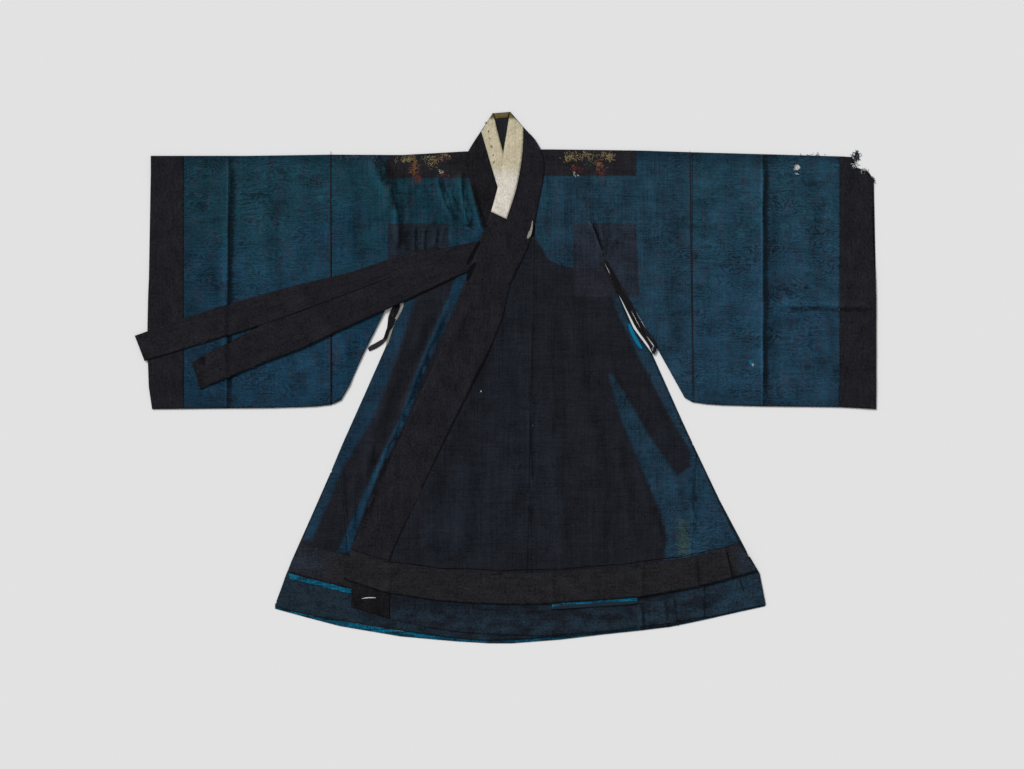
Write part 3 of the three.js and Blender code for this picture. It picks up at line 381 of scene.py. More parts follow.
def skin_edges(bm):
    """Pairs of points joined along one skin of a wall, and which points are on its rim."""
    pairs, rim_pairs = [], []
    for edge in bm.edges:
        flat = [abs(face.normal.z) > FLAT for face in edge.link_faces]
        ends = (edge.verts[0].index, edge.verts[1].index)
        if all(flat):
            pairs.append(ends)
        elif any(flat):
            rim_pairs.append(ends)
    return np.array(pairs).reshape(-1, 2), np.array(rim_pairs).reshape(-1, 2)


def smoothed(height, pairs, rim_pairs, rounds):
    """Heights with the solid's facets worn away. A rim is smoothed along itself only."""
    rim = np.zeros(len(height), bool)
    rim[rim_pairs.ravel()] = True
    inner = pairs[~(rim[pairs[:, 0]] & rim[pairs[:, 1]])]
    to, by = [], []
    for a, b in ((0, 1), (1, 0)):
        kept = inner[~rim[inner[:, a]]]
        to += [kept[:, a], rim_pairs[:, a]]
        by += [kept[:, b], rim_pairs[:, b]]
    to, by = np.concatenate(to), np.concatenate(by)
    count = np.bincount(to, minlength=len(height))
    joined = count > 0
    for _ in range(rounds):
        total = np.bincount(to, weights=height[by], minlength=len(height))
        height = np.where(joined, (height + total / np.maximum(count, 1)) / 2, height)
    return height


def cloth_mesh(node):
    """The node's cloth as a fine mesh that follows the solid, with the creases in it."""
    fine = FINEST_EDGE if node in SHARP_FOLDED else FINE_EDGE
    bm = fine_mesh(node, fine)
    bm.verts.index_update()
    pairs, rim_pairs = skin_edges(bm)
    mesh = bpy.data.meshes.new(node + "_cloth")
    bm.to_mesh(mesh)
    bm.free()
    points = np.zeros(3 * len(mesh.vertices))
    mesh.vertices.foreach_get("co", points)
    p = garment(points.reshape(-1, 3))
    rounds = round(SMOOTH_ROUNDS * (FINE_EDGE / fine) ** 2)
    p[:, 2] = smoothed(p[:, 2], pairs, rim_pairs, rounds)
    share = smooth((p[:, 2] - LYING_LOW) / (FREE_FROM - LYING_LOW))
    # The creases' heights, and their painted highlight and shade
    added, tone_and_painted_light = relief(p[:, 0], p[:, 1])
    p[:, 2] += share * added
    mesh.vertices.foreach_set("co", metres(p).astype(np.float32).ravel())
    tone_and_painted_light *= 0.0 if node in LIES_OVER else 1.0
    tone = TONES.get(node, Tone())
    tone_and_painted_light += tone.cloth
    # Painted shade along the rims of the piece's edges
    tone_and_painted_light[rim_pairs.ravel()] -= tone.rim
    mesh.attributes.new("tone_and_painted_light", "FLOAT", "POINT").data.foreach_set("value", tone_and_painted_light.astype(np.float32))
    mesh.update()
    mesh.shade_smooth()
    mesh.set_sharp_from_angle(angle=RIM_ANGLE)
    return mesh


# The same for every material
SPECULAR = 0.1
SHEEN_ROUGHNESS = 0.35
NOISE_DEPTH = 0.05  # the noise hardly changes upwards
LEAST_LIGHT = 0.2  # the darkest that unevenness and painted shade make a colour
LEAST_SPAN = 0.01  # of a table's column, so that an even one can be scaled
LINE_END = 2.0  # how softly a line ends, in millimetres

# Noise: its size along x and y in millimetres, how strongly it shows, its detail, its roughness and where it
# is taken from. Spots are its values from low to high, turned smoothly into start to end
Noise = namedtuple("Noise", "along across gain detail rough shift", defaults=(1.0, 2.0, 0.5, 0.0))
Spots = namedtuple("Spots", "along across detail rough shift low high start end", defaults=(0.0, 1.0))


class Shader:
    """A material's node tree, made by short calls that each give back a socket."""

    def __init__(self, name):
        self.material = bpy.data.materials.new(name)
        self.material.use_nodes = True
        self.tree = self.material.node_tree
        self.surface = self.tree.nodes["Principled BSDF"]
        place = self.node("TexCoord").outputs["Object"]
        scaled = self.vector("MULTIPLY", place, (1 / MM,) * 3)
        self.at = self.vector("SUBTRACT", scaled, (CENTRE_X, FOLD_Y, 0))
        split = self.node("SeparateXYZ", {"Vector": self.at})
        self.x, self.y = split.outputs["X"], split.outputs["Y"]

    def node(self, kind, inputs=None, **settings):
        made = self.tree.nodes.new("ShaderNode" + kind)
        for name, value in settings.items():
            setattr(made, name, value)
        for name, value in (inputs or {}).items():
            self.put(made.inputs[name], value)
        return made

    def put(self, socket, value):
        if isinstance(value, bpy.types.NodeSocket):
            self.tree.links.new(value, socket)
        else:
            socket.default_value = value

    def math(self, operation, a, b=0.0, c=0.0):
        made = self.node("Math", operation=operation)
        for socket, value in zip(made.inputs, (a, b, c)):
            self.put(socket, value)
        return made.outputs[0]

    def times(self, a, b):
        return self.math("MULTIPLY", a, b)

    def plus(self, a, b):
        return self.math("ADD", a, b)

    def minus(self, a, b):
        return self.math("SUBTRACT", a, b)

    def gained(self, value, gain, base):
        """base with value added gain times."""
        return self.math("MULTIPLY_ADD", value, gain, base)

    def vector(self, operation, a, b):
        made = self.node("VectorMath", operation=operation)
        self.put(made.inputs[0], a)
        self.put(made.inputs[1], b)
        return made.outputs["Value" if operation == "DOT_PRODUCT" else "Vector"]

    def mix(self, share, a, b):
        made = self.node("Mix", data_type="RGBA")
        for socket, value in ((made.inputs[0], share), (made.inputs[6], a), (made.inputs[7], b)):
            self.put(socket, value)
        return made.outputs[2]

    def scaled_colour(self, colour, light):
        """The colour made lighter or darker by a factor."""
        shade = self.node("CombineColor", {"Red": light, "Green": light, "Blue": light}).outputs[0]
        made = self.node("Mix", data_type="RGBA", blend_type="MULTIPLY")
        for socket, value in ((made.inputs[0], 1.0), (made.inputs[6], colour), (made.inputs[7], shade)):
            self.put(socket, value)
        return made.outputs[2]

    def wear_and_painted_light(self, light):
        """A factor on the colour joined with the painted highlight and shade of creases and rims, and with
        each piece's own tone.
        """
        tone_and_painted_light = self.node("Attribute", attribute_name="tone_and_painted_light").outputs["Fac"]
        return self.math("MAXIMUM", self.plus(light, tone_and_painted_light), LEAST_LIGHT)

    def ease(self, value, low, high, start=0.0, end=1.0):
        """value from low to high turned smoothly into start to end."""
        sizes = {"Value": value, "From Min": low, "From Max": high, "To Min": start, "To Max": end}
        return self.node("MapRange", sizes, interpolation_type="SMOOTHSTEP").outputs["Result"]

    def turned(self, angle):
        """The place on the cloth, turned so that its x runs along a slanted piece."""
        along = self.vector("DOT_PRODUCT", self.at, (math.cos(angle), math.sin(angle), 0))
        across = self.vector("DOT_PRODUCT", self.at, (-math.sin(angle), math.cos(angle), 0))
        return self.node("CombineXYZ", {"X": along, "Y": across}).outputs[0]

    def noise(self, n, at=None):
        """Noise from 0 to 1."""
        scaled = self.vector("MULTIPLY", at or self.at, (1 / n.along, 1 / n.across, NOISE_DEPTH))
        moved = self.vector("ADD", scaled, (n.shift, 2 * n.shift, 0))
        sizes = {"Vector": moved, "Scale": 1.0, "Detail": n.detail, "Roughness": n.rough}
        return self.node("TexNoise", sizes).outputs["Fac"]

    def layer(self, n, at=None):
        """Noise from -0.5 to 0.5."""
        return self.minus(self.noise(n, at), 0.5)

    def laid(self, n, base, at=None):
        """base with a layer of noise on it."""
        return self.gained(self.layer(n, at), n.gain, base)

    def spots(self, s, at=None):
        """Noise cut to spots."""
        return self.ease(self.noise(s, at), s.low, s.high, s.start, s.end)

    def curve(self, value, rows, key, column):
        """A table's column as a function of its key, by straight lines between its rows."""
        low, high = min(r[key] for r in rows), max(r[key] for r in rows)
        least, most = min(r[column] for r in rows), max(r[column] for r in rows)
        span = max(most - least, LEAST_SPAN)
        made = self.node("FloatCurve")
        line = made.mapping.curves[0]
        knots = sorted(((r[key] - low) / (high - low), (r[column] - least) / span) for r in rows)
        while len(line.points) < len(knots):
            line.points.new(0.5, 0.5)
        for point, knot in zip(line.points, knots):
            point.location = knot
            point.handle_type = "VECTOR"
        made.mapping.update()
        share = self.math("DIVIDE", self.minus(value, low), high - low)
        self.put(made.inputs["Value"], share)
        return self.gained(made.outputs[0], span, least)

    def zone(self, rows, soft, share):
        """share inside an area of the cloth given by its left and right edge at each height."""
        left = self.curve(self.y, rows, "y", "left")
        right = self.curve(self.y, rows, "y", "right")
        inside = self.math("MINIMUM", self.minus(self.x, left), self.minus(right, self.x))
        low, high = min(r["y"] for r in rows), max(r["y"] for r in rows)
        level = self.math("MINIMUM", self.minus(self.y, low), self.minus(high, self.y))
        return self.times(self.ease(self.math("MINIMUM", inside, level), -soft, soft), share)

    def line(self, rows, half, soft):
        """1 on a thin line across the cloth given by its x at each height."""
        centre = self.curve(self.y, rows, "y", "x")
        off = self.absolute(self.minus(self.x, centre))
        low, high = min(r["y"] for r in rows), max(r["y"] for r in rows)
        level = self.math("MINIMUM", self.minus(self.y, low), self.minus(high, self.y))
        near = self.ease(off, half, half + soft, 1.0, 0.0)
        return self.times(near, self.ease(level, -LINE_END, LINE_END))

    def absolute(self, value):
        return self.math("ABSOLUTE", value)

    def threads(self, pitch, at):
        """Warp and weft: a height from 0 to 1 that rises over each thread."""
        split = self.node("SeparateXYZ", {"Vector": at})
        heights = []
        for axis, spacing in zip(("X", "Y"), pitch):
            wave = self.math("SINE", self.times(split.outputs[axis], 2 * math.pi / spacing))
            heights.append(self.gained(wave, 0.5, 0.5))
        return self.times(heights[0], heights[1])

    def finish(self, colour, height, depth, roughness, sheen, tint):
        """Joins the colour and the fine relief, depth in millimetres, to a matt surface."""
        self.put(self.surface.inputs["Base Color"], colour)
        self.put(self.surface.inputs["Roughness"], roughness)
        self.put(self.surface.inputs["Specular IOR Level"], SPECULAR)
        self.put(self.surface.inputs["Sheen Weight"], sheen)
        self.put(self.surface.inputs["Sheen Roughness"], SHEEN_ROUGHNESS)
        self.put(self.surface.inputs["Sheen Tint"], tint)
        bump = self.node("Bump", {"Strength": 1.0, "Distance": depth * MM, "Height": height})
        self.put(self.surface.inputs["Normal"], bump.outputs["Normal"])
        return self.material


# Colours of the cloth
TEAL = srgb(17, 58, 70)
BLUE = srgb(17, 54, 76)
INK = srgb(9, 29, 44)
BLACK = srgb(25, 25, 31)
BLACK_COOL = srgb(25, 27, 34)
BROWN_BLACK = srgb(30, 27, 31)
BACKED = srgb(28, 31, 39)
BACKED_PALE = srgb(35, 36, 45)
PLUM_BLUE = srgb(43, 45, 60)
MOSS = srgb(64, 82, 66)
PALE = srgb(112, 118, 124)
TRIM_BLACK = srgb(26, 25, 31)
TRIM_WARM = srgb(29, 28, 33)
HEM_BLACK = srgb(30, 29, 33)
HEM_WARM = srgb(32, 31, 35)
SLATE = srgb(28, 44, 56)
SLATE_DARK = srgb(22, 27, 36)
SLATE_PAINTED_SHADOW = srgb(17, 22, 30)
SLATE_WORN = srgb(27, 42, 53)
SLATE_BRIGHT = srgb(30, 54, 70)
HEM_FADED = srgb(36, 48, 62)
HEM_BLUISH = srgb(34, 42, 54)
CYAN = srgb(0, 108, 142)
CYAN_DARK = srgb(6, 66, 92)
CREAM = srgb(200, 189, 161)
WHITE = srgb(222, 216, 203)
STAIN = srgb(97, 85, 47)


def table(columns, *values):
    """Rows with named columns."""
    return [dict(zip(columns.split(), row)) for row in values]


def rows(*values):
    """A zone's table: its height, left edge and right edge, from top to bottom."""
    return table("y left right", *values)


# Where the blue inner layer shows through the black gauze, or a backing darkens it
RIGHT_UPPER_BLUE = rows(
    (40, -800, 60),
    (-256, -800, 60),
    (-285, -800, -293),
    (-359, -800, -293),
    (-456, -800, -322),
    (-554, -800, -371),
    (-632, -800, -407),
)
RIGHT_STRIPE = rows(
    (-281, -122, -88),
    (-320, -144, -117),
    (-390, -171, -146),
    (-493, -217, -195),
    (-642, -271, -254),
    (-781, -339, -325),
    (-917, -400, -378),
    (-974, -427, -395),
)
RIGHT_SIDE_BAND = rows(
    (-266, -261, -200),
    (-368, -285, -239),
    (-505, -334, -283),
    (-642, -395, -337),
    (-766, -456, -412),
    (-944, -517, -488),
)
RIGHT_PATCH = rows((-173, -303, -154), (-359, -303, -154))
RIGHT_SHOULDER = rows((17, -307, -88), (-61, -307, -88))
LEFT_UPPER_BLUE = rows(
    (40, 20, 800),
    (-205, 56, 800),
    (-261, 90, 800),
    (-276, 122, 800),
    (-290, 224, 800),
    (-359, 281, 800),
    (-468, 346, 800),
    (-554, 390, 800),
    (-632, 434, 800),
)
LEFT_PATCH = rows((-173, 150, 303), (-351, 150, 312))
LEFT_SHOULDER = rows((17, 44, 303), (-56, 63, 303))
LEFT_SIDE_BAND = rows(
    (-344, 244, 361),
    (-383, 254, 386),
    (-464, 293, 434),
    (-627, 376, 508),
    (-732, 437, 556),
    (-764, 434, 605),
    (-798, 390, 630),
    (-993, 371, 703),
)
LEFT_WEDGE = rows(
    (-542, 237, 246),
    (-642, 264, 307),
    (-683, 281, 329),
    (-778, 320, 395),
    (-874, 361, 459),
    (-944, 381, 508),
    (-998, 381, 605),
)
LEFT_STAIN = rows((-900, 412, 422), (-974, 410, 427))
LEFT_FAINT_BLUE = rows(
    (-359, -17, 20),
    (-505, -59, 56),
    (-700, -102, 117),
    (-847, -212, 154),
    (-983, -237, 117),
)

# Creases pressed in by long storage: a table of the line, how wide the painted shade beside it is and how
# dark
Pressed = namedtuple("Pressed", "table wide dark")
PRESSED = [
    Pressed(table("y x", (5, -693), (-359, -695), (-622, -698)), 18.0, 0.62),
    Pressed(table("y x", (5, 609), (-622, 610)), 30.0, 0.5),
]
PRESS_LINE = (0.6, 2.2)  # half the width of the line of painted highlight, and how soft its edge is
PRESS_PAINTED_HIGHLIGHT = 0.4
PRESS_TURN = 2.0  # from the line's middle to the full painted shade
PRESS_SPAN = (60.0, 5.0)

# The sleeves' felled seams
SEAM_LINE = (1.2, 1.2)
SEAM_DARK = 0.75
SLEEVE_SEAM_RIGHT = table("y x", (7, -442), (-617, -442))
SLEEVE_SEAM_LEFT = table("y x", (7, 434), (-615, 444))

# How faded the blue is from one side of the robe to the other, and how reddish it has turned
FADING = table(
    "x light red",
    (-956, 0.78, 0.1),
    (-803, 0.74, 0.1),
    (-708, 0.8, 0.1),
    (-673, 1.0, 0.25),
    (-468, 1.04, 0.25),
    (-407, 0.9, 0.05),
    (-102, 0.8, 0.0),
    (117, 0.9, 0.8),
    (422, 0.95, 0.8),
    (459, 1.08, 0.6),
    (776, 1.06, 0.7),
    (947, 1.0, 0.7),
)
RED_TURN = srgb(30, 59, 77)

# Threads, in millimetres, and how much of them the colour shows
GAUZE_PITCH = (0.95, 1.15)
SILK_PITCH = (0.55, 0.6)
WEAVE_MEAN = 0.25
GAUZE_WEAVE = 0.6
SILK_WEAVE = 0.5

# Noise and spots of the gauze
DRIFT = Noise(150, 120, 700.0, 3.0)
BEND = Noise(85, 42, 13.0, shift=1.0)
FINE_BEND = Noise(18, 11, 1.5, shift=2.0)
WRINKLE = Noise(34, 230, rough=0.45, shift=17.0)
WARP = Noise(2.6, 120, 1.3, 2.0, 0.7, 3.0)
WEFT = Noise(60, 2.8, 1.2, 2.0, 0.7, 5.0)
GRAIN = Noise(5.5, 3.4, 2.1, 3.0, 0.8, 14.0)
BLOTCH = Noise(60, 50, 1.3, 6.0, 0.68, 6.0)
CRINKLE = Noise(9, 7, 2.2, 3.0, 0.5, 8.0)
PLUM_SPOTS = Spots(20, 48, 6.0, 0.75, 21.0, 0.46, 0.7, 0.0, 0.55)
COOL_SPOTS = Spots(190, 130, 2.0, 0.5, 4.0, 0.35, 0.65)
WATERED_SPOTS = Spots(90, 70, 2.0, 0.5, 7.0, 0.3, 0.68)
WRINKLED_SPOTS = Spots(80, 60, 2.0, 0.5, 19.0, 0.42, 0.6)
RUBBED_SPOTS = Spots(26, 20, 6.0, 0.75, 9.0, 0.68, 0.82, 0.0, 0.22)
LINT = Spots(2.2, 2.2, 0.0, 0.5, 12.0, 0.84, 0.88, 0.0, 0.3)

# Noise and spots of the silk
SILK_ALONG = Noise(90, 2.4, 1.3, 2.0, 0.7, 3.0)
SILK_ACROSS = Noise(2.6, 60, 0.8, 2.0, 0.7, 5.0)
SILK_GRAIN = Noise(6.5, 5.0, 3.3, 3.0, 0.8, 14.0)
SILK_BLOTCH = Noise(42, 26, 1.9, 6.0, 0.7, 6.0)
SILK_CRINKLE = Noise(11, 8, 2.5, 3.0, 0.5, 8.0)
SILK_PATCH = (120, 60)
LINING_PATCH = (44, 30)
SILK_WARM = Spots(*SILK_PATCH, 3.0, 0.5, 0.0, 0.35, 0.65)
SILK_GAPS = Spots(60, 8, 3.0, 0.5, 11.0, 0.44, 0.66, 0.0, 0.85)
SILK_RUBBED = Spots(18, 12, 6.0, 0.75, 9.0, 0.62, 0.84)

# How the gauze changes from body to sleeve, its watered ripple, and its wrinkles with painted shade along
# them
SLEEVE_BEGINS = (330.0, 450.0)
SLEEVE_WARP_LESS = -0.7
BLUE_BLOTCH_MORE = 0.6
TEAL_FROM = (-100.0, 300.0)
RIPPLE = 9.5
RIPPLE_BODY = 0.15
RIPPLE_SLEEVE_MORE = 0.2
WRINKLE_HALF = 0.012
WRINKLE_PAINTED_SHADE = -0.38
WRINKLE_DEPTH = -1.5

# Darkening from a line outwards: full up to, gone from, and how much
TOP_DARKENING = (4.0, 42.0, 0.55)
FOOT_DARKENING = (6.0, 60.0, 0.3)
SLEEVE_FOOT = 622.0
SLEEVE_ONLY = (400.0, 430.0)

# Fine relief's depth in millimetres, roughness, sheen and its tint
GAUZE_FINISH = (0.22, 0.82, 0.05, (0.55, 0.65, 0.75, 1))
SILK_FINISH = (0.18, 0.8, 0.05, (0.7, 0.7, 0.75, 1))
PAINT_FINISH = (0.2, 0.8, 0.0, (1, 1, 1, 1))


def gauze_base(shader, blue_share):
    """The two layers of gauze: black over blue, with the blue faded unevenly."""
    drift = shader.gained(shader.noise(DRIFT), DRIFT.gain, shader.y)
    blue = shader.mix(shader.ease(drift, *TEAL_FROM), BLUE, TEAL)
    blue = shader.mix(shader.curve(shader.x, FADING, "x", "red"), blue, RED_TURN)
    blue = shader.scaled_colour(blue, shader.curve(shader.x, FADING, "x", "light"))
    blue = shader.mix(shader.spots(PLUM_SPOTS), blue, PLUM_BLUE)
    black = shader.mix(shader.spots(COOL_SPOTS), BLACK, BLACK_COOL)
    return shader.mix(blue_share, black, blue)


def watered(shader, blue_share, sleeve):
    """The watered look of two crossed gauzes: contour lines of a wavering field, mostly along x."""
    bend, fine_bend = shader.noise(BEND), shader.noise(FINE_BEND)
    phase = shader.gained(bend, BEND.gain, shader.math("DIVIDE", shader.y, RIPPLE))
    phase = shader.gained(fine_bend, FINE_BEND.gain, phase)
    ripple = shader.math("SINE", shader.times(phase, 2 * math.pi))
    gain = shader.times(blue_share, shader.gained(sleeve, RIPPLE_SLEEVE_MORE, RIPPLE_BODY))
    return shader.times(shader.times(ripple, shader.spots(WATERED_SPOTS)), gain)


def wrinkled(shader, sleeve):
    """Fine wrinkles that run down the body: 1 on thin lines where a slow field crosses its middle."""
    line = shader.ease(shader.absolute(shader.layer(WRINKLE)), 0.0, WRINKLE_HALF, 1.0, 0.0)
    return shader.times(line, shader.times(shader.spots(WRINKLED_SPOTS), shader.minus(1.0, sleeve)))


def darker_at_edges(shader, blue_share):
    """How much darker the blue turns near the shoulder fold and near the sewn foot of a sleeve."""
    top = shader.ease(shader.absolute(shader.y), *TOP_DARKENING, 0.0)
    foot = shader.ease(shader.absolute(shader.plus(shader.y, SLEEVE_FOOT)), *FOOT_DARKENING, 0.0)
    sleeve_only = shader.ease(shader.absolute(shader.x), *SLEEVE_ONLY)
    edge = shader.math("MAXIMUM", top, shader.times(foot, sleeve_only))
    return shader.times(edge, blue_share)


def press(shader, light, crease):
    """A pressed crease: a painted highlight along its line with painted shade beside it."""
    off = shader.minus(shader.x, shader.curve(shader.y, crease.table, "y", "x"))
    begins = shader.ease(off, 0.0, PRESS_TURN)
    shade = shader.times(begins, shader.ease(off, PRESS_TURN, crease.wide, 1.0, 0.0))
    span = shader.line(crease.table, *PRESS_SPAN)
    light = shader.gained(shader.times(shade, span), -crease.dark, light)
    return shader.gained(shader.line(crease.table, *PRESS_LINE), PRESS_PAINTED_HIGHLIGHT, light)


def gauze(name, zones, seams=(), pressed=()):
    """Two layers of gauze. zones has how blue they look, and where, then what darkens or stains them."""
    shader = Shader(name)
    blue_share = zones["base"]
    for area, share, soft in zones["blue"]:
        blue_share = shader.math("MAXIMUM", blue_share, shader.zone(area, soft, share))
    colour = gauze_base(shader, blue_share)
    colour = shader.mix(darker_at_edges(shader, blue_share), colour, INK)
    for area, share, soft, backing in zones["dark"]:
        colour = shader.mix(shader.zone(area, soft, share), colour, backing)

    # Threads show more on the body, where they run down it, than on the sleeves
    sleeve = shader.ease(shader.absolute(shader.x), *SLEEVE_BEGINS)
    warp = shader.layer(WARP)
    warp_gain = shader.gained(sleeve, SLEEVE_WARP_LESS, WARP.gain)
    streak = shader.gained(warp, warp_gain, shader.times(shader.layer(WEFT), WEFT.gain))
    light = shader.laid(GRAIN, shader.plus(watered(shader, blue_share, sleeve), streak))
    wrinkle = wrinkled(shader, sleeve)
    # Painted shade along the fine wrinkles
    light = shader.gained(wrinkle, WRINKLE_PAINTED_SHADE, light)
    blotch_gain = shader.gained(blue_share, BLUE_BLOTCH_MORE, BLOTCH.gain)
    light = shader.gained(shader.layer(BLOTCH), blotch_gain, light)
    weave = shader.threads(GAUZE_PITCH, shader.at)
    light = shader.gained(shader.minus(weave, WEAVE_MEAN), GAUZE_WEAVE, light)
    light = shader.plus(light, 1.0)
    for crease in pressed:
        light = press(shader, light, crease)
    for seam in seams:
        dark = shader.times(shader.line(seam, *SEAM_LINE), SEAM_DARK)
        colour = shader.mix(dark, colour, BROWN_BLACK)

    # Rubbed places and specks of lint
    wear_and_painted_light = shader.math("MAXIMUM", shader.spots(RUBBED_SPOTS), shader.spots(LINT))
    colour = shader.mix(wear_and_painted_light, colour, PALE)
    # The colour scaled by its unevenness, by painted shade along wrinkles and pressed creases, and by the
    # painted highlight and shade of creases and rims
    colour = shader.scaled_colour(colour, shader.wear_and_painted_light(light))
    height = shader.gained(shader.noise(CRINKLE), CRINKLE.gain, shader.plus(weave, warp))
    height = shader.gained(wrinkle, WRINKLE_DEPTH, height)
    return shader.finish(colour, height, *GAUZE_FINISH)


def silk(name, base, warm, angle=0.0, zones=(), rub_share=0.22, depth=1.0, broken=False, patch=SILK_PATCH):
    """Plain silk, for trims, bands, ties and linings: close threads, faint streaks and rubbing.

    depth is how strongly the threads and the unevenness show, broken cloth has dark gaps in its colour and
    patch is the size of the places where base turns to warm.
    """
    shader = Shader(name)
    at = shader.turned(angle)
    warm_spots = SILK_WARM._replace(along=patch[0], across=patch[1])
    colour = shader.mix(shader.spots(warm_spots, at), base, warm)
    if broken:
        colour = shader.mix(shader.spots(SILK_GAPS, at), colour, SLATE_DARK)
    for area, colour_there, share, soft in zones:
        colour = shader.mix(shader.zone(area, soft, share), colour, colour_there)
    along = shader.layer(SILK_ALONG, at)
    across = shader.times(shader.layer(SILK_ACROSS, at), SILK_ACROSS.gain)
    light = shader.gained(along, SILK_ALONG.gain, across)
    light = shader.laid(SILK_GRAIN, light, at)
    light = shader.laid(SILK_BLOTCH, light, at)
    weave = shader.threads(SILK_PITCH, at)
    light = shader.gained(shader.minus(weave, WEAVE_MEAN), SILK_WEAVE, light)
    light = shader.gained(light, depth, 1.0)
    colour = shader.mix(shader.spots(SILK_RUBBED._replace(end=rub_share), at), colour, PALE)
    # The colour scaled by its unevenness and by the painted highlight and shade of creases and rims
    colour = shader.scaled_colour(colour, shader.wear_and_painted_light(light))
    crinkle = shader.noise(SILK_CRINKLE, at)
    height = shader.gained(crinkle, SILK_CRINKLE.gain, shader.plus(weave, along))
    return shader.finish(colour, height, *SILK_FINISH)


# Zones of the gauze: how blue it looks everywhere, the blue areas and the dark or stained ones. Each has its
# table, how much of it and how soft its edge is, and the dark ones their colour
RIGHT_ZONES = {
    "base": 0.03,
    "blue": [
        (RIGHT_UPPER_BLUE, 1.0, 3.0),
        (RIGHT_STRIPE, 0.95, 5.0),
        (RIGHT_SIDE_BAND, 0.75, 9.0),
    ],
    "dark": [(RIGHT_PATCH, 0.85, 1.6, BACKED), (RIGHT_SHOULDER, 0.95, 2.5, BROWN_BLACK)],
}
LEFT_ZONES = {
    "base": 0.03,
    "blue": [
        (LEFT_UPPER_BLUE, 0.95, 6.0),
        (LEFT_SIDE_BAND, 0.8, 6.0),
        (LEFT_WEDGE, 0.9, 7.0),
        (LEFT_FAINT_BLUE, 0.09, 45.0),
    ],
    "dark": [
        (LEFT_PATCH, 0.8, 1.6, BACKED_PALE),
        (LEFT_SHOULDER, 0.95, 1.6, BROWN_BLACK),
        (LEFT_STAIN, 0.6, 17.0, MOSS),
    ],
}
SLEEVE_ZONES = {"base": 0.97, "blue": [], "dark": []}

# Other colours on plain silk: where, what colour, how much of it and how soft its edge is
LINING_ZONES = [
    # The first two are painted shadow below the hem band
    (rows((-1076, -303, -102), (-1110, -283, -83)), SLATE_PAINTED_SHADOW, 0.75, 16.0),
    (rows((-1096, -29, 49), (-1120, -29, 68)), SLATE_PAINTED_SHADOW, 0.6, 14.0),
    (rows((-993, -615, -395), (-1213, -615, -366)), SLATE_WORN, 0.8, 30.0),
    (rows((-1017, 512, 703), (-1213, 473, 703)), SLATE_BRIGHT, 0.55, 36.0),
]
HEM_ZONES = [
    (rows((-959, 544, 600), (-1035, 556, 615)), HEM_FADED, 0.6, 18.0),
    (rows((-964, -590, -473), (-1027, -590, -454)), HEM_BLUISH, 0.6, 26.0),
]
STRIP_ZONES = [
    (rows((-46, -102, 117), (-188, -102, 117)), WHITE, 1.0, 22.0),
    (rows((129, -78, 44), (83, -78, 44)), STAIN, 0.97, 5.0),
]

TIE_UNDER_ANGLE = math.atan2(190, 640)
TIE_OVER_ANGLE = math.atan2(290, 620)
materials = {
    "sleeve": gauze("gauze_sleeve", SLEEVE_ZONES, (SLEEVE_SEAM_RIGHT, SLEEVE_SEAM_LEFT), PRESSED),
    "right": gauze("gauze_right_front", RIGHT_ZONES, (SLEEVE_SEAM_RIGHT,)),
    "left": gauze("gauze_left_front", LEFT_ZONES, (SLEEVE_SEAM_LEFT,)),
    "trim": silk("silk_trim", TRIM_BLACK, TRIM_WARM, math.pi / 2),
    "hem": silk("silk_hem", HEM_BLACK, HEM_WARM, zones=HEM_ZONES),
    "tie_under": silk("silk_tie_under", TRIM_BLACK, TRIM_WARM, TIE_UNDER_ANGLE),
    "tie_over": silk("silk_tie_over", TRIM_BLACK, TRIM_WARM, TIE_OVER_ANGLE),
    "lining": silk("silk_lining", SLATE, SLATE_DARK, zones=LINING_ZONES, rub_share=0.2, patch=LINING_PATCH),
    "facing": silk("silk_facing", CYAN, CYAN_DARK, rub_share=0.1, broken=True),
    "white": silk("silk_white", CREAM, CREAM, math.pi / 2, STRIP_ZONES, rub_share=0.0, depth=0.35),
}

